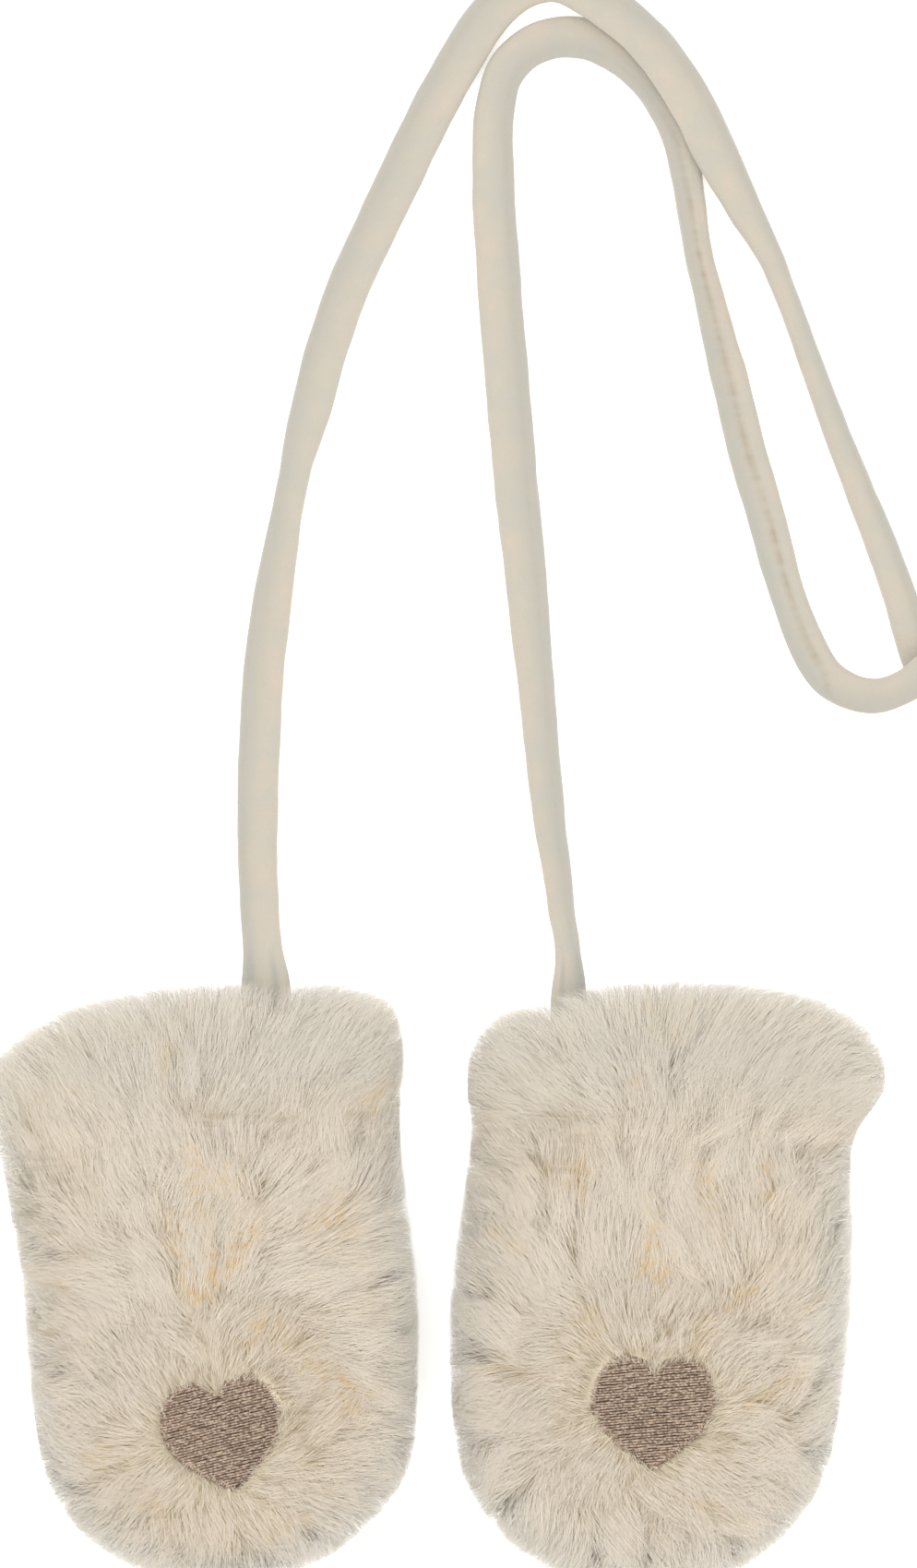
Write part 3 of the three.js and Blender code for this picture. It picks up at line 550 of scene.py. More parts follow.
    strand = add_node(tree, "GeometryNodeObjectInfo", {"transform_space": "ORIGINAL"}, {0: given["Strand"]})
    planted = add_node(tree, "GeometryNodeInstanceOnPoints", inputs={
        "Points": roots.outputs["Points"], "Instance": strand.outputs["Geometry"],
        "Rotation": rolled.outputs[0], "Scale": size.outputs[0]})
    tint = add_node(tree, "FunctionNodeRandomValue", {"data_type": "FLOAT"}, {2: 0.0, 3: 1.0, "Seed": 16})
    tinted = add_node(tree, "GeometryNodeStoreNamedAttribute", {
        "data_type": "FLOAT", "domain": "INSTANCE"}, {
        "Geometry": planted.outputs[0], "Name": "tint", "Value": tint.outputs[1]})
    pulled = add_node(tree, "GeometryNodeStoreNamedAttribute", {
        "data_type": "FLOAT_VECTOR", "domain": "INSTANCE"}, {
        "Geometry": tinted.outputs[0], "Name": "pull", "Value": pull.outputs[0]})
    lean_chance = add_node(tree, "FunctionNodeRandomValue", {"data_type": "FLOAT_VECTOR"}, {
        0: (-0.02, -0.02, -0.02), 1: (0.02, 0.02, 0.02), "Seed": 17})
    facing = add_node(tree, "ShaderNodeVectorMath", {"operation": "ADD"}, {
        0: normal, 1: lean_chance.outputs[0]})
    faced = add_node(tree, "GeometryNodeStoreNamedAttribute", {
        "data_type": "FLOAT_VECTOR", "domain": "INSTANCE"}, {
        "Geometry": pulled.outputs[0], "Name": "facing", "Value": facing.outputs[0]})
    real = add_node(tree, "GeometryNodeRealizeInstances", inputs={0: faced.outputs[0]})

    along = add_node(tree, "GeometryNodeInputNamedAttribute", {"data_type": "FLOAT"}, {"Name": "along"})
    pull_back = add_node(tree, "GeometryNodeInputNamedAttribute", {"data_type": "FLOAT_VECTOR"}, {
        "Name": "pull"})
    bend = add_node(tree, "ShaderNodeMath", {"operation": "POWER"}, {0: along.outputs[0], 1: 1.6})
    shift = add_node(tree, "ShaderNodeVectorMath", {"operation": "SCALE"}, {
        0: pull_back.outputs[0], "Scale": bend.outputs[0]})
    drawn = add_node(tree, "GeometryNodeSetPosition", inputs={
        "Geometry": real.outputs[0], "Offset": shift.outputs[0]})

    # The pile is sheared: what stands out of the envelope is bent back to it, all but a short fuzz
    envelope = add_node(tree, "GeometryNodeObjectInfo", {"transform_space": "ORIGINAL"}, {
        0: given["Envelope"]})
    nearest = add_node(tree, "GeometryNodeProximity", {"target_element": "FACES"}, {
        "Geometry": envelope.outputs["Geometry"], "Sample Position": here})
    face_normal = add_node(tree, "GeometryNodeInputNormal")
    outwards = add_node(tree, "GeometryNodeSampleNearestSurface", {"data_type": "FLOAT_VECTOR"}, {
        0: envelope.outputs["Geometry"], 1: face_normal.outputs[0], "Sample Position": here})
    back = add_node(tree, "ShaderNodeVectorMath", {"operation": "SUBTRACT"}, {
        0: nearest.outputs[0], 1: here})
    facing_back = add_node(tree, "ShaderNodeVectorMath", {"operation": "DOT_PRODUCT"}, {
        0: back.outputs[0], 1: outwards.outputs[0]})
    outside = add_node(tree, "ShaderNodeMath", {"operation": "LESS_THAN"}, {
        0: facing_back.outputs["Value"], 1: 0.0})
    trim = add_node(tree, "ShaderNodeMath", {"operation": "MULTIPLY"}, {
        0: outside.outputs[0], 1: given["Trim"]})
    shorten = add_node(tree, "ShaderNodeVectorMath", {"operation": "SCALE"}, {
        0: back.outputs[0], "Scale": trim.outputs[0]})
    sheared = add_node(tree, "GeometryNodeSetPosition", inputs={
        "Geometry": drawn.outputs[0], "Offset": shorten.outputs[0]})
    spot = add_node(tree, "ShaderNodeSeparateXYZ", inputs={0: here})
    held_up = add_node(tree, "ShaderNodeMath", {"operation": "MAXIMUM"}, {
        0: spot.outputs[2], 1: given["Floor"]})
    on_floor = add_node(tree, "ShaderNodeCombineXYZ", inputs={
        0: spot.outputs[0], 1: spot.outputs[1], 2: held_up.outputs[0]})
    laid = add_node(tree, "GeometryNodeSetPosition", inputs={
        "Geometry": sheared.outputs[0], "Position": on_floor.outputs[0]})
    # Fine fibres take the light as the coat they lie in does
    coat_normal = add_node(tree, "GeometryNodeInputNamedAttribute", {"data_type": "FLOAT_VECTOR"}, {
        "Name": "facing"})
    smooth = add_node(tree, "GeometryNodeSetShadeSmooth", inputs={"Geometry": laid.outputs[0]})
    soft = add_node(tree, "GeometryNodeSetMeshNormal", {"mode": "FREE", "domain": "POINT"}, {
        "Mesh": smooth.outputs[0], "Custom Normal": coat_normal.outputs[0]})
    painted = add_node(tree, "GeometryNodeSetMaterial", inputs={
        "Geometry": soft.outputs[0], "Material": given["Material"]})
    add_node(tree, "NodeGroupOutput", inputs={0: painted.outputs[0]})
    return tree


def stitch_object(name):
    """One stitch, one unit long, wide and high: a bowed round thread whose two ends dive into the cloth."""
    # How far along and how high
    half = [(0.3, 0.16), (0.46, -0.1), (0.5, -0.9)]
    stations = [(-share, rise) for share, rise in reversed(half)] + [(0.0, 0.26)] + half
    sides = 6
    points = []
    for share, rise in stations:
        thin = 0.75 if abs(share) > 0.48 else 1.0
        for i in range(sides):
            angle = 2 * math.pi * i / sides
            points.append((share, 0.5 * thin * math.cos(angle), rise + 0.5 * thin * math.sin(angle)))
    faces = []
    for ring in range(len(stations) - 1):
        for i in range(sides):
            j = (i + 1) % sides
            faces.append((ring * sides + i, ring * sides + j,
                          (ring + 1) * sides + j, (ring + 1) * sides + i))
    faces.append(tuple(reversed(range(sides))))
    faces.append(tuple((len(stations) - 1) * sides + i for i in range(sides)))
    obj = new_object(name, points, faces)
    fix_normals(obj)
    return obj


def fix_normals(obj):
    """Turns the faces of a closed mesh outwards."""
    work = bmesh.new()
    work.from_mesh(obj.data)
    bmesh.ops.recalc_face_normals(work, faces=work.faces)
    work.to_mesh(obj.data)
    work.free()


def stitch_tree():
    """Sews one stitch at each point of the filling, along that point's own run and on its own slope."""
    tree, given = new_tree("sew the filling", [
        ("Stitch", "NodeSocketObject"), ("Thread Width", "NodeSocketFloat"),
        ("Thread Height", "NodeSocketFloat"), ("Uneven", "NodeSocketFloat"), ("Seed", "NodeSocketInt"),
        ("Material", "NodeSocketMaterial")])
    run = add_node(tree, "GeometryNodeInputNamedAttribute", {"data_type": "FLOAT_VECTOR"}, {"Name": "run"})
    slope = add_node(tree, "GeometryNodeInputNamedAttribute", {"data_type": "FLOAT_VECTOR"}, {
        "Name": "slope"})
    long = add_node(tree, "GeometryNodeInputNamedAttribute", {"data_type": "FLOAT"}, {"Name": "long"})
    dots = add_node(tree, "GeometryNodeMeshToPoints", inputs={0: given["Geometry"]})
    turned = add_node(tree, "FunctionNodeAxesToRotation", {"primary_axis": "Z", "secondary_axis": "X"}, {
        0: slope.outputs[0], 1: run.outputs[0]})
    chance = add_node(tree, "FunctionNodeRandomValue", {"data_type": "FLOAT"}, {
        2: 0.8, 3: 1.15, "Seed": given["Seed"]})
    wide = add_node(tree, "ShaderNodeMath", {"operation": "MULTIPLY"}, {
        0: given["Thread Width"], 1: chance.outputs[1]})
    high = add_node(tree, "ShaderNodeMath", {"operation": "MULTIPLY"}, {
        0: given["Thread Height"], 1: chance.outputs[1]})
    size = add_node(tree, "ShaderNodeCombineXYZ", inputs={
        0: long.outputs[0], 1: wide.outputs[0], 2: high.outputs[0]})
    stitch = add_node(tree, "GeometryNodeObjectInfo", {"transform_space": "ORIGINAL"}, {0: given["Stitch"]})
    sewn = add_node(tree, "GeometryNodeInstanceOnPoints", inputs={
        "Points": dots.outputs[0], "Instance": stitch.outputs["Geometry"], "Rotation": turned.outputs[0],
        "Scale": size.outputs[0]})
    shade = add_node(tree, "FunctionNodeRandomValue", {"data_type": "FLOAT"}, {2: 0.0, 3: 1.0, "Seed": 5})
    dark = add_node(tree, "GeometryNodeInputNamedAttribute", {"data_type": "FLOAT"}, {"Name": "dark"})
    uneven = add_node(tree, "ShaderNodeMath", {"operation": "MULTIPLY_ADD", "use_clamp": True}, {
        0: shade.outputs[1], 1: given["Uneven"], 2: dark.outputs[0]})
    tinted = add_node(tree, "GeometryNodeStoreNamedAttribute", {
        "data_type": "FLOAT", "domain": "INSTANCE"}, {
        "Geometry": sewn.outputs[0], "Name": "tint", "Value": uneven.outputs[0]})
    real = add_node(tree, "GeometryNodeRealizeInstances", inputs={0: tinted.outputs[0]})
    smooth = add_node(tree, "GeometryNodeSetShadeSmooth", inputs={"Geometry": real.outputs[0]})
    painted = add_node(tree, "GeometryNodeSetMaterial", inputs={
        "Geometry": smooth.outputs[0], "Material": given["Material"]})
    add_node(tree, "NodeGroupOutput", inputs={0: painted.outputs[0]})
    return tree


# The hearts' outline

def heart_outline(steps=24):
    """The heart's outline round its middle, in metres, unturned."""
    wide = HEART_WIDTH / 2
    tall = HEART_HEIGHT / 2
    left = [
        ((0, 0.75 * tall), (-0.17 * wide, 1.12 * tall), (-0.96 * wide, 1.2 * tall), (-wide, 0.27 * tall)),
        ((-wide, 0.27 * tall), (-wide, -0.28 * tall), (-0.47 * wide, -0.62 * tall), (0, -tall)),
    ]
    right = [tuple((-x, y) for x, y in reversed(curve)) for curve in reversed(left)]
    points = []
    for a, b, c, d in left + right:
        for i in range(steps):
            t = i / steps
            s = 1 - t
            points.append(tuple(
                s * s * s * a[k] + 3 * s * s * t * b[k] + 3 * s * t * t * c[k] + t * t * t * d[k]
                for k in (0, 1)))
    return points


HEART_OUTLINE = heart_outline()
# Farther from a heart than this, nothing depends on how far it is.
HEART_REACH = 30 * MM


def heart_place(mitten, x, y):
    """A point of the table, seen from the heart: unturned, round its middle."""
    turn = -math.radians(mitten["turn"])
    dx = x - mitten["heart"][0]
    dy = y - mitten["heart"][1]
    return (dx * math.cos(turn) - dy * math.sin(turn), dx * math.sin(turn) + dy * math.cos(turn))


def distance_outside(outline, x, y):
    """How far a point is outside a closed outline, or minus how far inside."""
    nearest = 1.0
    inside = False
    for i in range(len(outline)):
        ax, ay = outline[i - 1]
        bx, by = outline[i]
        length = (bx - ax) ** 2 + (by - ay) ** 2
        share = min(max(((x - ax) * (bx - ax) + (y - ay) * (by - ay)) / length, 0.0), 1.0)
        nearest = min(nearest, math.hypot(x - ax - share * (bx - ax), y - ay - share * (by - ay)))
        if (ay > y) != (by > y) and x < ax + (y - ay) / (by - ay) * (bx - ax):
            inside = not inside
    return -nearest if inside else nearest


def from_heart(mitten, x, y):
    """How far a point of the table is outside the mitten's heart."""
    px, py = heart_place(mitten, x, y)
    if math.hypot(px, py) > HEART_REACH + 10 * MM:
        return HEART_REACH
    return distance_outside(HEART_OUTLINE, px, py)


# The plush panels

ANGLES = 144
RINGS = 36
CLOTH_THICKNESS = 1.2 * MM
CUFF_SPREAD = 46.0 * MM
# How far the pile's soft tips stand out of the CAD solid
FUZZ = 0.4 * MM
# The cloth's height over the seam at its edge, as a share of the solid's there
EDGE_SHARE = 0.60
# The pocket of the CAD panel under its heart: how deep it is and how far it reaches round the heart
POCKET_DEPTH = 2.2 * MM
POCKET_MARGIN = 1.2 * MM
# How deep the cloth lies under a heart, and how far round the heart its stitches draw it up
HEART_SINK = 3.1 * MM
DRAWN_UP = 16.0 * MM
# The least depth of pile, and the hidden rim inside a heart's edge that still has strands
LEAST_DEPTH = 1.5 * MM
HEART_RIM = 0.8 * MM


def comb_direction(mitten, x, y, normal, side):
    """The way the pile lies on the cloth at a point: out from the heart over the hand, up and out over the
    cuff, and round the edge towards the seam."""
    share = smoothstep(WRIST - 10 * MM, WRIST + 4 * MM, y)
    heart_x, heart_y = mitten["heart"]
    over_hand = Vector((x - 0.5 * (heart_x + mitten["centre"]), y - heart_y, 0.0))
    over_hand /= max(over_hand.length, 4 * MM)
    over_cuff = Vector(((x - mitten["centre"]) / CUFF_SPREAD * 1.35, 0.75, 0.0))
    away = over_hand.lerp(over_cuff, share)
    steep = 1.0 - abs(normal.z)
    at_mouth = share * smoothstep(0.15, 0.55, normal.y)
    away += Vector((0, 0, -side * 0.9 * steep * (1 - at_mouth)))
    flat = away - normal * away.dot(normal)
    return flat.normalized() if flat.length > 1e-6 else Vector((0, 1, 0))


# Where the pile parts and its ochre roots show: place, half width and half height in millimetres, turn in
# degrees, and how strongly.
PARTINGS = {
    "left": [
        (-14.6, 40.0, 4.0, 2.2, 12, 0.7), (-23.2, 15.2, 2.0, 2.4, 30, 0.9),
        (-20.0, 10.0, 4.0, 1.6, -30, 0.5), (-57.0, 9.5, 1.2, 5.0, 20, 0.8),
        (-48.0, 4.0, 2.0, 4.0, -25, 0.8), (-43.5, 8.0, 1.4, 5.0, -25, 0.9),
        (-52.5, -1.0, 3.0, 1.6, -35, 0.8), (-39.5, -9.5, 1.2, 3.5, -40, 0.8),
        (-31.0, -11.5, 8.0, 1.0, -38, 0.9), (-23.0, -19.5, 5.0, 1.0, -25, 0.8),
        (-80.2, 42.0, 4.5, 1.2, 15, 0.6), (-58.4, 49.8, 1.8, 3.5, 0, 0.6),
        (-52.0, 22.0, 1.5, 5.0, 8, 0.6), (-45.0, 24.0, 2.0, 2.0, 8, 0.6),
        (-20.0, -26.0, 2.0, 1.6, 20, 0.6), (-35.0, -52.0, 6.0, 1.0, 22, 0.6),
        (-62.0, -47.0, 4.5, 1.0, -40, 0.6), (-70.0, -36.0, 2.6, 1.0, -35, 0.6),
        (-74.5, -37.0, 2.2, 1.0, -35, 0.5), (-18.0, -55.0, 5.0, 1.4, 30, 0.5),
    ],
    "right": [
        (30.0, 24.5, 2.6, 1.4, 20, 1.0), (23.5, 25.4, 4.0, 0.9, -12, 0.8),
        (46.5, 61.0, 1.6, 4.0, 0, 0.7), (52.0, 54.0, 2.4, 1.2, 20, 0.7),
        (45.5, 9.0, 1.4, 5.0, -12, 0.8), (47.5, 3.0, 2.2, 2.0, 0, 0.6),
        (58.0, 21.0, 1.4, 5.0, 12, 0.6), (66.0, -1.0, 4.0, 1.2, 40, 0.7),
        (71.0, 23.0, 1.2, 5.0, 10, 0.6), (82.0, -2.0, 4.0, 0.9, 35, 0.6),
        (12.0, 12.0, 5.0, 0.9, -30, 0.6), (16.0, -18.0, 5.0, 1.0, -10, 0.5),
        (72.0, -22.0, 5.0, 1.0, 30, 0.6), (43.0, 44.0, 2.0, 1.6, 10, 0.6),
        (20.0, 46.0, 4.0, 0.9, 25, 0.6), (33.0, -8.0, 1.4, 4.0, 15, 0.5),
        (56.0, -12.0, 1.4, 4.0, -15, 0.5), (60.0, -48.0, 5.0, 1.0, -20, 0.5),
    ],
}

# Painted taupe shade in the wrist's crease, between tufts at the edges, by the hearts and the left cord's
# end, in the same terms.
PAINTED_SHADES = {
    "left": [
        (-46.4, 35.6, 4.4, 0.8, 0, 1.0), (-34.6, 35.4, 2.6, 0.8, 0, 1.0),
        (-9.8, 35.8, 1.4, 6.0, 0, 0.8), (-16.0, 37.0, 3.5, 1.0, 15, 0.6),
        (-84.2, 24.8, 7.5, 1.6, -14, 0.55), (-86.0, 14.0, 5.0, 1.0, -35, 0.6),
        (-85.5, -9.0, 6.0, 1.0, -42, 0.75), (-84.0, 2.0, 5.0, 0.9, -38, 0.55),
        (-88.0, -16.0, 5.0, 0.9, -50, 0.6), (-29.4, -27.0, 1.0, 3.0, -35, 0.8),
        (-28.6, -33.5, 2.6, 0.8, -45, 0.9), (-79.0, -50.0, 5.0, 0.9, 10, 0.5),
        (-76.0, -55.0, 5.0, 0.9, -10, 0.5), (-30.5, -3.5, 6.0, 0.6, -20, 0.5),
        (-27.5, -9.5, 4.0, 0.6, -35, 0.5), (-40.5, 61.8, 1.2, 2.2, 0, 0.8),
        (-32.9, 61.5, 0.9, 2.0, 0, 0.5), (-87.0, 4.0, 4.0, 20.0, 8, 0.2),
    ],
    "right": [
        (24.5, 38.2, 3.2, 0.8, 30, 0.9), (29.5, 35.6, 3.6, 0.7, 10, 1.0),
        (21.0, 33.6, 3.0, 0.8, 5, 0.6), (24.0, 25.9, 4.6, 0.7, -12, 0.8),
        (8.0, 32.0, 1.5, 5.0, -15, 0.8), (11.0, 26.0, 4.0, 0.8, -25, 0.5),
        (60.8, -33.5, 1.6, 2.6, -25, 0.55), (85.0, 12.0, 3.0, 0.8, 30, 0.35),
        (8.0, 8.0, 4.0, 0.8, -35, 0.4), (86.0, 32.0, 2.5, 1.2, 40, 0.4),
    ],
}


# How much larger each patch is than its half width and half height say
PATCH_SPREAD = 1.15
# How strong the painted shade of the pile is at a heart's edge, and how far round the heart it reaches
HEART_SHADE = 0.6
SHADE_REACH = 3.2 * MM


def patch_strength(patches, places):
    """How strongly the strongest of these patches shows at each of many places, from 0 to 1."""
    most = np.zeros(len(places))
    for px, py, wide, high, turn, strength in patches:
        angle = math.radians(turn)
        dx = places[:, 0] - px * MM
        dy = places[:, 1] - py * MM
        u = (dx * math.cos(angle) + dy * math.sin(angle)) / (wide * PATCH_SPREAD * MM)
        v = (-dx * math.sin(angle) + dy * math.cos(angle)) / (high * PATCH_SPREAD * MM)
        most = np.maximum(most, strength * np.exp(-(u * u + v * v) / 1.6))
    return most


def heart_shade(mitten, places):
    """A faint painted shade on the pile that meets the heart, fading out over a few millimetres."""
    shade = np.zeros(len(places))
    hx, hy = mitten["heart"]
    near = np.hypot(places[:, 0] - hx, places[:, 1] - hy) < 20 * MM
    outline = np.array(turned_outline(mitten)) + (hx, hy)
    spots = places[near, :2]
    gap = np.full(len(spots), 1.0)
    for x, y in outline:
        gap = np.minimum(gap, np.hypot(spots[:, 0] - x, spots[:, 1] - y))
    shade[near] = HEART_SHADE * np.exp(-(gap / SHADE_REACH) ** 2)
    return shade


def cloth_surface(side_name, layer, settings):
    """The backing cloth of a panel, found by rays on its CAD solid: points, faces and what the pile needs."""
    mitten = MITTENS[side_name]
    side = 1 if layer == "front" else -1
    surface = surface_of(f"{side_name}_{layer}_panel")
    centre = mitten["centre"]
    inset = settings.backing_depth
    points = []
    pile_facts = {"depth": [], "reach": [], "thick": [], "free": [], "wild": [], "rim": []}

    def outer_height(x, y):
        height = height_at(surface, x, y, side)
        if height is None:
            return None
        if side > 0 and from_heart(mitten, x, y) < POCKET_MARGIN:
            height += POCKET_DEPTH
        return height

    reach_at = []
    for k in range(ANGLES):
        angle = 2 * math.pi * k / ANGLES
        low = 0.0
        high = 0.1
        for _ in range(13):
            middle = (low + high) / 2
            if height_at(surface, centre + middle * math.cos(angle), middle * math.sin(angle), side) is None:
                high = middle
            else:
                low = middle
        reach_at.append(low)

    def add_point(k, share):
        angle = 2 * math.pi * k / ANGLES
        far = reach_at[k] * min(share, 0.997)
        near = (reach_at[k] - inset) * share
        x, y = centre + near * math.cos(angle), near * math.sin(angle)
        top = outer_height(centre + far * math.cos(angle), far * math.sin(angle))
        top = SEAM_HEIGHT if top is None else top
        height = SEAM_HEIGHT + (top - SEAM_HEIGHT) * EDGE_SHARE
        above = outer_height(x, y)
        above = top if above is None else above
        if side > 0:
            gap = from_heart(mitten, x, y)
            # Under the heart the cloth comes up to it, because the stitches hold the pile down.
            pressed = 1 - smoothstep(-1.0 * MM, DRAWN_UP, gap)
            height += (above - HEART_SINK - height) * pressed
        points.append(Vector((x, y, height)))
        depth = min(max(abs(above - height), LEAST_DEPTH), inset)
        to_edge = reach_at[k] - near
        reach = 0.86 + 0.14 * smoothstep(inset + 1 * MM, inset + 14 * MM, to_edge)
        thick = 1.0
        free = 1.0
        if side > 0:
            free = 0.4 + 0.6 * smoothstep(1.0 * MM, 10.0 * MM, gap)
            reach *= 0.5 + 0.5 * smoothstep(0.0 * MM, 12.0 * MM, gap)
            thick = 0.0 if gap < -HEART_RIM else 1.0
        # The pile parts round the cord where it goes in at the cuff's edge.
        end_x, end_y = mitten["cord_end"]
        beside = math.hypot(x - end_x, (y - end_y) * 0.7)
        open_here = 1 - smoothstep(3.0 * MM, 7.5 * MM, beside)
        reach *= 1 - 0.5 * open_here
        thick *= 1 - 0.6 * open_here
        # rim paints the pile greyer as shade: towards the panel's edge, and at 0.55 over the cuff.
        rim = 1 - smoothstep(inset - 2 * MM, inset + 9 * MM, to_edge)
        over_cuff = smoothstep(WRIST - 8 * MM, WRIST + 14 * MM, y)
        wild = 1 - 0.5 * over_cuff
        rim = max(rim, 0.55 * over_cuff)
        facts = {"depth": depth, "reach": reach, "thick": thick, "free": free, "wild": wild, "rim": rim}
        for name, value in facts.items():
            pile_facts[name].append(value)

    add_point(0, 0.0)
    for ring in range(1, RINGS + 1):
        share = math.sin(0.5 * math.pi * ring / RINGS) ** 0.9
        for k in range(ANGLES):
            add_point(k, share)

    def index(ring, k):
        return 0 if ring == 0 else 1 + (ring - 1) * ANGLES + k % ANGLES

    faces = []
    for ring in range(RINGS):
        for k in range(ANGLES):
            a, b = index(ring, k), index(ring, k + 1)
            c, d = index(ring + 1, k + 1), index(ring + 1, k)
            face = (a, d, c) if ring == 0 else (a, d, c, b)
            faces.append(face if side > 0 else tuple(reversed(face)))
    return points, faces, pile_facts


def envelope_object(side_name):
    """The space that one mitten's two CAD panels fill, as one merged mesh that the pile is sheared to."""
    work = bmesh.new()
    for layer in ("front", "back"):
        work.from_mesh(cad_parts[f"{side_name}_{layer}_panel"].data)
    bmesh.ops.remove_doubles(work, verts=work.verts, dist=0.01 * MM)
    work.normal_update()
    for vertex in work.verts:
        vertex.co += vertex.normal * FUZZ
    mesh = bpy.data.meshes.new("envelope")
    work.to_mesh(mesh)
    work.free()
    obj = bpy.data.objects.new("envelope", mesh)
    bpy.context.scene.collection.objects.link(obj)
    return obj


def point_normals(points, faces):
    """Smooth normals of an open sheet."""
    mesh = bpy.data.meshes.new("normals")
    mesh.from_pydata([tuple(p) for p in points], [], faces)
    normals = [v.normal.copy() for v in mesh.vertices]
    bpy.data.meshes.remove(mesh)
    return normals


def cloth_piece(name, points, faces, normals, material):
    """The backing as a thin closed cloth under its outer face."""
    inner = [p - n * CLOTH_THICKNESS for p, n in zip(points, normals)]
    count = len(points)
    both = list(faces) + [tuple(count + i for i in reversed(face)) for face in faces]
    start = count - ANGLES
    rim = []
    for k in range(ANGLES):
        a = start + k
        b = start + (k + 1) % ANGLES
        rim.append((a, a + count, b + count, b))
    obj = new_object(name, points + inner, both + rim)
    fix_normals(obj)
    obj.data.materials.append(material)
    return obj


def pile_piece(name, side_name, source, tree, strand, values, material):
    """One layer of pile grown from the backing's outer face, as one plain mesh."""
    points, faces, pile_facts, combs = source
    obj = new_object(name, points, faces)
    for fact, numbers in pile_facts.items():
        add_attribute(obj, fact, "FLOAT", numbers)
    add_attribute(obj, "comb", "FLOAT_VECTOR", [tuple(c) for c in combs])
    area = sum(p.area for p in obj.data.polygons)
    inputs = dict(values)
    inputs["Density"] = values["Count"] / area
    inputs["Strand"] = strand
    inputs["Material"] = material
    del inputs["Count"]
    grow(obj, tree, inputs)
    for extra in ("pull", "depth", "reach", "thick", "free", "wild", "comb", "facing"):
        attribute = obj.data.attributes.get(extra)
        if attribute is not None:
            obj.data.attributes.remove(attribute)
    if side_name is not None:
        places = np.empty(3 * len(obj.data.vertices), dtype=np.float32)
        obj.data.vertices.foreach_get("co", places)
        places = places.reshape(-1, 3)
        # The partings' ochre is the pile's own colour; the other two are painted shade.
        add_attribute(obj, "parting", "FLOAT", patch_strength(PARTINGS[side_name], places))
        add_attribute(obj, "shade", "FLOAT", patch_strength(PAINTED_SHADES[side_name], places))
        add_attribute(obj, "pressed", "FLOAT", heart_shade(MITTENS[side_name], places))
    return obj


# The cord

CORD_STEP = 0.95 * MM
CORD_SIDES = 40
FLAT_THICKNESS = 4.3 * MM
# The power that makes the flat tube's section squarer than an ellipse
SQUARENESS = 0.84
# From one pucker of the seam to the next
PUCKER_STEP = 2.4 * MM


def between(a, b, low, high, spot):
    """The value at a spot between a, at the low knot, and b, at the high one."""
    return a * (high - spot) / (high - low) + b * (spot - low) / (high - low)


def curve_point(controls, t):
    """A point of the centripetal curve through four controls, between the second and the third."""
    knots = [0.0]
    for i in range(3):
        gap = math.sqrt((Vector(controls[i + 1][:3]) - Vector(controls[i][:3])).length)
        knots.append(knots[-1] + max(gap, 1e-4))
    spot = knots[1] + (knots[2] - knots[1]) * t
    values = [np.array(c) for c in controls]
    # Three rounds: four values become three, two and then the curve's point.
    for spans in (((0, 1), (1, 2), (2, 3)), ((0, 2), (1, 3)), ((1, 2),)):
        values = [between(values[i], values[i + 1], knots[low], knots[high], spot)
                  for i, (low, high) in enumerate(spans)]
    return values[0]


def cord_path():
    """The cord's middle and width at even steps along the smooth curve through its route."""
    route = [np.array(p) for p in CORD_ROUTE]
    route = [2 * route[0] - route[1]] + route + [2 * route[-1] - route[-2]]
    dense = []
    for i in range(len(route) - 3):
        dense += [curve_point(route[i:i + 4], j / 24) for j in range(24)]
    dense.append(route[-2])
    dense = np.array(dense)
    steps = np.linalg.norm(np.diff(dense[:, :3], axis=0), axis=1)
    run = np.concatenate([[0.0], np.cumsum(steps)])
    count = int(round(run[-1] / CORD_STEP))
    even = np.linspace(0.0, run[-1], count + 1)
    path = np.stack([np.interp(even, run, dense[:, k]) for k in range(4)], axis=1)
    # A soft tube has no corners: each place is drawn a little towards its neighbours.
    for _ in range(10):
        path[1:-1] = 0.25 * path[:-2] + 0.5 * path[1:-1] + 0.25 * path[2:]
    return path


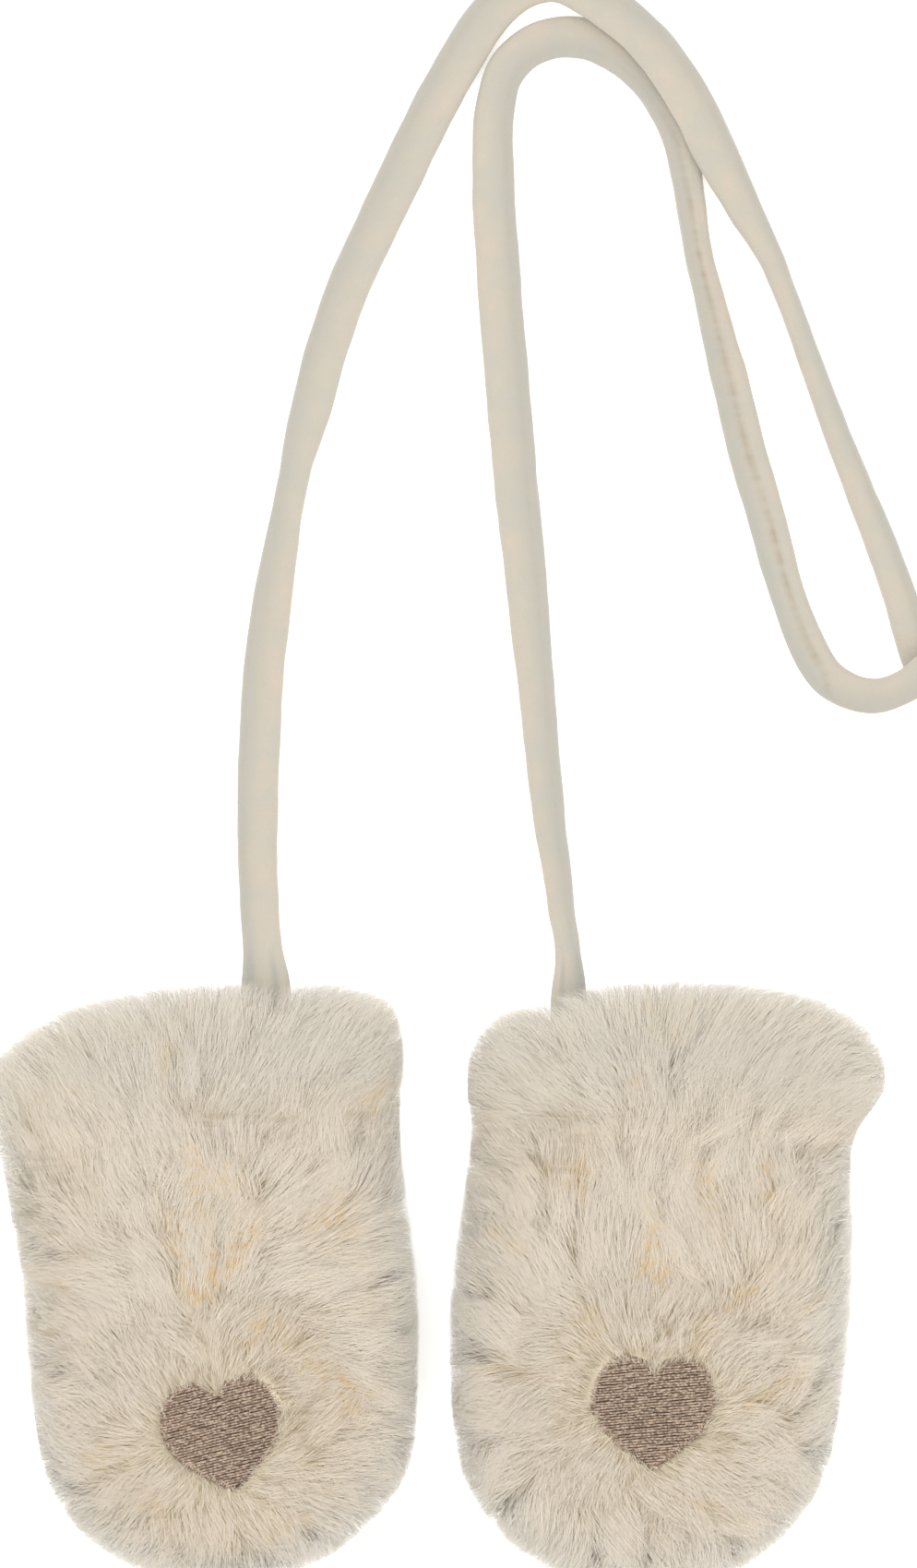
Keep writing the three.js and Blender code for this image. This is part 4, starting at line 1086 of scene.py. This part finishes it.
def cord_piece(settings, material):
    """The flattened velour tube, swept along its route, with its seam, its puckers and its soft dents."""
    path = cord_path()
    centres = path[:, :3]
    tangents = np.gradient(centres, axis=0)
    tangents /= np.linalg.norm(tangents, axis=1)[:, None]
    points = []
    seams = []
    painted_fold_shade = []
    for i, (x, y, z, width) in enumerate(path):
        run = i * CORD_STEP
        forward = Vector(tangents[i])
        across = forward.cross(UP).normalized()
        lift = across.cross(forward).normalized()
        # The narrower the tube lies, the rounder it is.
        width += settings.plumpness
        round_share = (settings.width - width) / (settings.width - settings.round_width)
        thick = FLAT_THICKNESS + (settings.round_width - FLAT_THICKNESS) * 0.55 * max(round_share, 0.0)
        thick -= 0.5 * MM * max(-round_share, 0.0)
        middle = Vector((x, y, z + (thick - FLAT_THICKNESS) / 2))
        wobble = noise.noise(Vector((run / (14 * MM), 3.1, 0.0)))
        # The seam faces up only where the cord runs back up from its right-hand loop; elsewhere it hardly
        # shows.
        shows = smoothstep(0.4, 0.8, forward.y) * smoothstep(48 * MM, 57 * MM, x)
        hidden_angle = 128 + 30 * noise.noise(Vector((run / (120 * MM), 7.7, 0.0)))
        shown_angle = 86 + 14 * noise.noise(Vector((run / (30 * MM), 2.7, 0.0)))
        seam_angle = math.radians(hidden_angle + (shown_angle - hidden_angle) * shows)
        seam_share = 0.22 + 0.78 * shows
        fold_angle = math.radians(62 + 26 * noise.noise(Vector((run / (70 * MM), 1.3, 4.0))))
        for k in range(CORD_SIDES):
            angle = 2 * math.pi * k / CORD_SIDES
            c, s = math.cos(angle), math.sin(angle)
            a = math.copysign(abs(c) ** SQUARENESS, c) * width / 2
            b = math.copysign(abs(s) ** SQUARENESS, s) * thick / 2
            from_seam = math.remainder(angle - seam_angle, 2 * math.pi)
            from_fold = math.remainder(angle - fold_angle, 2 * math.pi)
            seam = math.exp(-(from_seam / 0.15) ** 2)
            near = math.exp(-(from_seam / 0.42) ** 2)
            pucker = near * math.sin(2 * math.pi * run / PUCKER_STEP + 2.0 * wobble)
            dent = 0.16 * MM * noise.noise(Vector((run / (6 * MM), 2.0 * c, 2.0 * s)))
            fold = math.exp(-(from_fold / 0.35) ** 2)
            groove = seam_share * (settings.seam_depth * seam - 0.09 * MM * pucker)
            grow_out = dent - groove - 0.22 * MM * fold
            size = 1 + grow_out / max(math.hypot(a, b), 0.5 * MM)
            place = middle + across * (a * size + 0.25 * MM * wobble) + lift * (b * size)
            place.z = max(place.z, 0.22 * MM)
            points.append(place)
            # The seam is darker: partly its own line, partly painted shade in its groove and in its puckers'
            # troughs.
            broken = 0.8 + 0.9 * noise.noise(Vector((run / (2.3 * MM), 5.5, 0.0)))
            seam_line_and_shade = 0.42 * seam * max(broken, 0.3) + 0.16 * near * max(-pucker, 0)
            seams.append(min(seam_share * seam_line_and_shade, 1.0))
            # Painted shade: the side of the tube past its fold line is greyer, and dark creases are painted
            # near its ends.
            painted_gather_shade = max(0.0, math.sin(6 * angle + 0.8)) * smoothstep(-74 * MM, -67 * MM, -y)
            painted_fold_shade.append(min(smoothstep(0.1, 1.1, from_fold) * 0.6 + painted_gather_shade, 1.0))
    faces = []
    rings = len(path)
    for i in range(rings - 1):
        for k in range(CORD_SIDES):
            j = (k + 1) % CORD_SIDES
            faces.append((i * CORD_SIDES + k, i * CORD_SIDES + j,
                          (i + 1) * CORD_SIDES + j, (i + 1) * CORD_SIDES + k))
    for first, ring in ((0, 0), (1, rings - 1)):
        middle = sum((points[ring * CORD_SIDES + k] for k in range(CORD_SIDES)), Vector()) / CORD_SIDES
        points.append(middle)
        seams.append(0.0)
        painted_fold_shade.append(0.0)
        tip = len(points) - 1
        for k in range(CORD_SIDES):
            j = (k + 1) % CORD_SIDES
            faces.append((tip, ring * CORD_SIDES + k, ring * CORD_SIDES + j))
    obj = new_object("velour_cord", points, faces)
    add_attribute(obj, "seam", "FLOAT", seams)
    add_attribute(obj, "fold", "FLOAT", painted_fold_shade)
    fix_normals(obj)
    obj.data.materials.append(material)
    length = float(np.linalg.norm(np.diff(centres, axis=0), axis=1).sum())
    return obj, [tuple(float(v) for v in p) for p in centres], length


# The hearts

# The ground under the stitches: its size as a share of the heart's, how far it lies under the heart's top,
# and how thick it is
GROUND_SHARE = 0.965
GROUND_SINK = 0.25 * MM
GROUND_THICKNESS = 1.1 * MM
GROUND_RINGS = 10
# How far the stitches' middles lie under the heart's top, and how much longer each is than its step
STITCH_SINK = 0.12 * MM
STITCH_OVERLAP = 0.25 * MM


def heart_ground(side_name, material):
    """The dark ground under the stitches, painted shade for their gaps: the heart's own shape, a little
    smaller and lower.
    """
    mitten = MITTENS[side_name]
    surface = surface_of(f"{side_name}_heart")
    heart_x, heart_y = mitten["heart"]
    rings = GROUND_RINGS
    count = len(HEART_OUTLINE)
    rows = []
    for level in ("top", "foot"):
        for ring in range(1, rings + 1):
            share = GROUND_SHARE * ring / rings
            row = []
            for dx, dy in turned_outline(mitten):
                x = heart_x + dx * share
                y = heart_y + dy * share
                top = height_at(surface, x, y, 1)
                z = (top if top is not None else rows[-1][0].z) - GROUND_SINK
                if ring == rings:
                    z -= GROUND_SINK
                if level == "foot":
                    z -= GROUND_THICKNESS
                row.append(Vector((x, y, z)))
            rows.append(row)
    points = []
    for row in rows:
        points += row
    middle = height_at(surface, heart_x, heart_y, 1) - GROUND_SINK
    points.append(Vector((heart_x, heart_y, middle)))
    points.append(Vector((heart_x, heart_y, middle - GROUND_THICKNESS)))
    top_tip = len(points) - 2
    foot_tip = len(points) - 1
    faces = []
    for level, tip in ((0, top_tip), (1, foot_tip)):
        base = level * rings * count
        for ring in range(rings - 1):
            for i in range(count):
                j = (i + 1) % count
                faces.append((base + ring * count + i, base + ring * count + j,
                              base + (ring + 1) * count + j, base + (ring + 1) * count + i))
        for i in range(count):
            faces.append((tip, base + i, base + (i + 1) % count))
    top_rim = (rings - 1) * count
    foot_rim = (2 * rings - 1) * count
    for i in range(count):
        j = (i + 1) % count
        faces.append((top_rim + i, foot_rim + i, foot_rim + j, top_rim + j))
    obj = new_object(f"{side_name}_heart_ground", points, faces)
    fix_normals(obj)
    obj.data.materials.append(material)
    return obj


def turned_outline(mitten):
    """The mitten's heart outline, turned as it lies, round its own middle."""
    turn = math.radians(mitten["turn"])
    return [(x * math.cos(turn) - y * math.sin(turn), x * math.sin(turn) + y * math.cos(turn))
            for x, y in HEART_OUTLINE]


def heart_rows(mitten, settings):
    """Where the stitches go: rows across the heart, each cut into stitches of uneven length."""
    tilt = math.radians(mitten["threads"])
    cos_t, sin_t = math.cos(tilt), math.sin(tilt)
    # Seen along the rows, so that each row is level
    level = [(x * cos_t + y * sin_t, -x * sin_t + y * cos_t) for x, y in turned_outline(mitten)]
    lowest = min(y for _, y in level)
    highest = max(y for _, y in level)
    stitches = []
    count = int((highest - lowest) / settings.row_spacing)
    for row in range(count + 1):
        v = lowest + (row + 0.5) * settings.row_spacing
        cuts = []
        for i in range(len(level)):
            ax, ay = level[i - 1]
            bx, by = level[i]
            if (ay > v) != (by > v):
                cuts.append(ax + (v - ay) / (by - ay) * (bx - ax))
        cuts.sort()
        for start, end in zip(cuts[::2], cuts[1::2]):
            ragged = noise.noise(Vector((row * 0.9, 4.2, 0))) * 0.6 * MM
            ragged_end = noise.noise(Vector((row * 0.9, 9.4, 0))) * 0.6 * MM
            stitches += cut_row(start + 0.1 * MM + ragged, end - 0.1 * MM + ragged_end, v, row, settings)
    return [(u * cos_t - v * sin_t, u * sin_t + v * cos_t, length, tilt + lean, 0.0)
            for u, v, length, lean in stitches]


def cut_row(start, end, v, row, settings):
    """One row's stitches: the needle comes up where the last stitch went down, and rows are staggered."""
    stitches = []
    shortest = 1.0 * MM
    if end - start < shortest:
        return stitches
    offsets = (0.0, 0.5, 0.25, 0.75)
    place = start
    step = settings.stitch_length * (1.0 - 0.8 * offsets[row % 4])
    index = 0
    while place < end:
        uneven = noise.noise(Vector((row * 1.7, index * 2.3, 1.0)))
        high = place + max(step * (1 + 0.3 * uneven), shortest)
        if end - high < shortest:
            high = end
        lean = 0.16 * noise.noise(Vector((row * 0.61, index * 1.9, 8.0)))
        aside = 0.16 * MM * noise.noise(Vector((row * 0.83, index * 1.1, 3.0)))
        stitches.append(((place + high) / 2, v + aside, high - place, lean))
        place = high
        step = settings.stitch_length
        index += 1
    return stitches


def heart_edging(mitten, settings):
    """Short stitches across the heart's edge, where the filling's ends are sewn down: they look darker."""
    outline = turned_outline(mitten)
    stitches = []
    carried = 0.0
    for i in range(len(outline)):
        ax, ay = outline[i - 1]
        bx, by = outline[i]
        length = math.hypot(bx - ax, by - ay)
        spot = carried
        while spot < length:
            share = spot / length
            x, y = ax + share * (bx - ax), ay + share * (by - ay)
            # The outline runs anticlockwise, so its inside is on the left.
            angle = math.atan2(by - ay, bx - ax) + math.pi / 2
            angle += 0.5 * noise.noise(Vector((x / (0.9 * MM), y / (0.9 * MM), 0.0)))
            long = (1.25 + 0.5 * noise.noise(Vector((x / (0.7 * MM), y / (0.7 * MM), 5.0)))) * MM
            inward = 0.5 * long - 0.32 * MM
            stitches.append((x + inward * math.cos(angle), y + inward * math.sin(angle), long, angle, 1.0))
            spot += settings.row_spacing * 0.95
        carried = spot - length
    return stitches


def heart_filling(side_name, settings, tree, stitch, material):
    """The embroidered filling of one heart, sewn by the stitch tree."""
    mitten = MITTENS[side_name]
    surface = surface_of(f"{side_name}_heart")
    hx, hy = mitten["heart"]
    places = []
    runs = []
    slopes = []
    longs = []
    darks = []
    for u, v, length, angle, dark in heart_edging(mitten, settings) + heart_rows(mitten, settings):
        x, y = hx + u, hy + v
        # A stitch beside the CAD heart takes its height from the nearest place towards the middle.
        back = 1.0
        top = None
        while top is None and back > 0.5:
            top, slope = surface_hit(surface, hx + u * back, hy + v * back, 1)
            back -= 0.02
        if top is None:
            continue
        normal = slope if slope.z > 0.75 else UP
        along = Vector((math.cos(angle), math.sin(angle), 0.0))
        places.append(Vector((x, y, top.z - STITCH_SINK * (1 + dark))))
        runs.append(tuple(along - normal * along.dot(normal)))
        slopes.append(tuple(normal))
        longs.append(length + STITCH_OVERLAP)
        darks.append(dark)
    obj = new_object(f"{side_name}_heart_stitches", places, [])
    add_attribute(obj, "run", "FLOAT_VECTOR", runs)
    add_attribute(obj, "slope", "FLOAT_VECTOR", slopes)
    add_attribute(obj, "long", "FLOAT", longs)
    add_attribute(obj, "dark", "FLOAT", darks)
    grow(obj, tree, {
        "Stitch": stitch, "Thread Width": settings.thread_width, "Thread Height": settings.thread_width,
        "Uneven": 0.85, "Seed": 3, "Material": material})
    return obj


# Operators, one for each piece or group of like pieces

class MITTENS_OT_stage(bpy.types.Operator):
    """Sets the camera straight over the mittens, the pale floor and the soft lamps"""
    bl_idname = "mittens.stage"
    bl_label = "Set Stage"

    def execute(self, context):
        settings = context.scene.mittens.stage
        scene = context.scene
        camera_data = bpy.data.cameras.new("camera")
        camera_data.lens = 360.0
        camera_data.sensor_width = 36.0
        camera_data.sensor_fit = "VERTICAL"
        camera_data.sensor_height = 36.0
        camera = bpy.data.objects.new("camera", camera_data)
        camera.location = (4.2 * MM, 108.9 * MM, settings.camera_height)
        scene.collection.objects.link(camera)
        scene.camera = camera

        floor = new_object("floor", [(-3, -3, 0), (3, -3, 0), (3, 3, 0), (-3, 3, 0)], [(0, 1, 2, 3)])
        material, tree = new_material("lit white acrylic table")
        paper = add_node(tree, "ShaderNodeBsdfPrincipled", inputs={
            "Base Color": settings.floor_colour, "Roughness": 0.95, "Specular IOR Level": 0.1,
            "Emission Color": (1.0, 1.0, 1.0, 1.0), "Emission Strength": settings.table_glow})
        add_node(tree, "ShaderNodeOutputMaterial", inputs={"Surface": paper.outputs[0]})
        floor.data.materials.append(material)

        world = bpy.data.worlds.new("soft studio")
        world.use_nodes = True
        world.node_tree.nodes.clear()
        sky = add_node(world.node_tree, "ShaderNodeBackground", inputs={
            "Color": (1.0, 1.0, 1.0, 1.0), "Strength": settings.fill_strength})
        add_node(world.node_tree, "ShaderNodeOutputWorld", inputs={"Surface": sky.outputs[0]})
        scene.world = world

        lamps = [("key", (-0.45, 0.45, 1.25), 0.9, settings.key_power),
                 ("side", (0.7, -0.5, 0.9), 1.1, settings.key_power * 0.6)]
        for name, place, size, power in lamps:
            lamp = bpy.data.lights.new(name, "AREA")
            lamp.shape = "SQUARE"
            lamp.size = size
            lamp.energy = power
            obj = bpy.data.objects.new(name, lamp)
            obj.location = place
            aim = Vector((0.0, 0.08, 0.0)) - Vector(place)
            obj.rotation_euler = aim.to_track_quat("-Z", "Y").to_euler()
            scene.collection.objects.link(obj)
        scene.view_settings.view_transform = "Standard"
        return {"FINISHED"}


class MITTENS_OT_cord(bpy.types.Operator):
    """Lays the velour cord on the table, from one cuff to the other"""
    bl_idname = "mittens.cord"
    bl_label = "Lay Cord"

    def execute(self, context):
        settings = context.scene.mittens.cord
        cord, path, length = cord_piece(settings, velour_material(settings))
        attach(cord, "root")
        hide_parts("cord")
        return {"FINISHED"}


class MITTENS_OT_plush(bpy.types.Operator):
    """Cuts the four plush panels: the backing cloth of each, and its combed pile in layers"""
    bl_idname = "mittens.plush"
    bl_label = "Make Plush Panels"

    def execute(self, context):
        settings = context.scene.mittens.fur
        backing = backing_material()
        down = fur_material("faux fur, underfur", settings, 1.0)
        guard = fur_material("faux fur, long pile", settings, 0.0)
        tree = fur_tree()
        strand = strand_object("strand")
        for side_index, side_name in enumerate(MITTENS):
            envelope = envelope_object(side_name)
            for layer in ("front", "back"):
                points, faces, pile_facts = cloth_surface(side_name, layer, settings)
                normals = point_normals(points, faces)
                side = 1 if layer == "front" else -1
                combs = [comb_direction(MITTENS[side_name], p.x, p.y, n, side)
                         for p, n in zip(points, normals)]
                cloth = cloth_piece(f"{side_name}_{layer}_cloth", points, faces, normals, backing)
                source = (points, faces, pile_facts, combs)
                share = 1.0 if layer == "front" else 0.35
                seed = settings.seed + 10 * side_index + (0 if layer == "front" else 5)
                shared = {
                    "Width": settings.strand_width, "Swirl Scale": 30.0, "Floor": 0.3 * MM,
                    "Envelope": envelope, "Trim": 0.96, "Count": int(settings.strand_count * share)}
                marked = side_name if layer == "front" else None
                underfur = pile_piece(f"{side_name}_{layer}_underfur", marked, source, tree, strand, {
                    **shared, "Length": settings.down_length, "Swirl": 3.6, "Tuft Turn": 1.4,
                    "Tuft Scale": 210.0, "Tuft Pull": 0.2, "Stray": 0.5, "Lift": 0.9, "Seed": seed}, down)
                pile = pile_piece(f"{side_name}_{layer}_pile", marked, source, tree, strand, {
                    **shared, "Length": settings.pile_length, "Swirl": 3.6, "Tuft Turn": 1.15,
                    "Tuft Scale": 125.0, "Tuft Pull": 0.3, "Stray": 0.22, "Lift": 1.0,
                    "Seed": seed + 1}, guard)
                for piece in (cloth, underfur, pile):
                    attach(piece, "root")
                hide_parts(f"{side_name}_{layer}_panel")
            bpy.data.objects.remove(envelope)
        bpy.data.objects.remove(strand)
        return {"FINISHED"}


class MITTENS_OT_hearts(bpy.types.Operator):
    """Embroiders the two hearts: a dark ground of painted shade and rows of satin stitches on it"""
    bl_idname = "mittens.hearts"
    bl_label = "Embroider Hearts"

    def execute(self, context):
        settings = context.scene.mittens.hearts
        thread = thread_material(settings)
        dark_ground = ground_material()
        tree = stitch_tree()
        stitch = stitch_object("stitch")
        for side_name in MITTENS:
            ground = heart_ground(side_name, dark_ground)
            filling = heart_filling(side_name, settings, tree, stitch, thread)
            for piece in (ground, filling):
                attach(piece, "root")
            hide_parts(f"{side_name}_heart")
        bpy.data.objects.remove(stitch)
        return {"FINISHED"}


class MITTENS_PT_panel(bpy.types.Panel):
    """Lists the pieces and their settings"""
    bl_label = "Plush Baby Mittens"
    bl_idname = "MITTENS_PT_panel"
    bl_space_type = "VIEW_3D"
    bl_region_type = "UI"
    bl_category = "Mittens"

    def draw(self, context):
        layout = self.layout
        settings = context.scene.mittens
        for title, group, operator in (("Stage", settings.stage, MITTENS_OT_stage.bl_idname),
                                       ("Cord", settings.cord, MITTENS_OT_cord.bl_idname),
                                       ("Plush", settings.fur, MITTENS_OT_plush.bl_idname),
                                       ("Hearts", settings.hearts, MITTENS_OT_hearts.bl_idname)):
            box = layout.box()
            box.label(text=title)
            for name in group.__annotations__:
                box.prop(group, name)
            box.operator(operator)


CLASSES = (StageSettings, FurSettings, CordSettings, HeartSettings, MittenSettings, MITTENS_OT_stage,
           MITTENS_OT_cord, MITTENS_OT_plush, MITTENS_OT_hearts, MITTENS_PT_panel)


def register():
    for cls in CLASSES:
        bpy.utils.register_class(cls)
    bpy.types.Scene.mittens = PointerProperty(type=MittenSettings)


def unregister():
    del bpy.types.Scene.mittens
    for cls in reversed(CLASSES):
        bpy.utils.unregister_class(cls)


def main():
    """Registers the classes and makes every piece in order."""
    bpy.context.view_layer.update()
    register()
    bpy.ops.mittens.stage()
    bpy.ops.mittens.cord()
    bpy.ops.mittens.plush()
    bpy.ops.mittens.hearts()


if __name__ == "__main__":
    main()
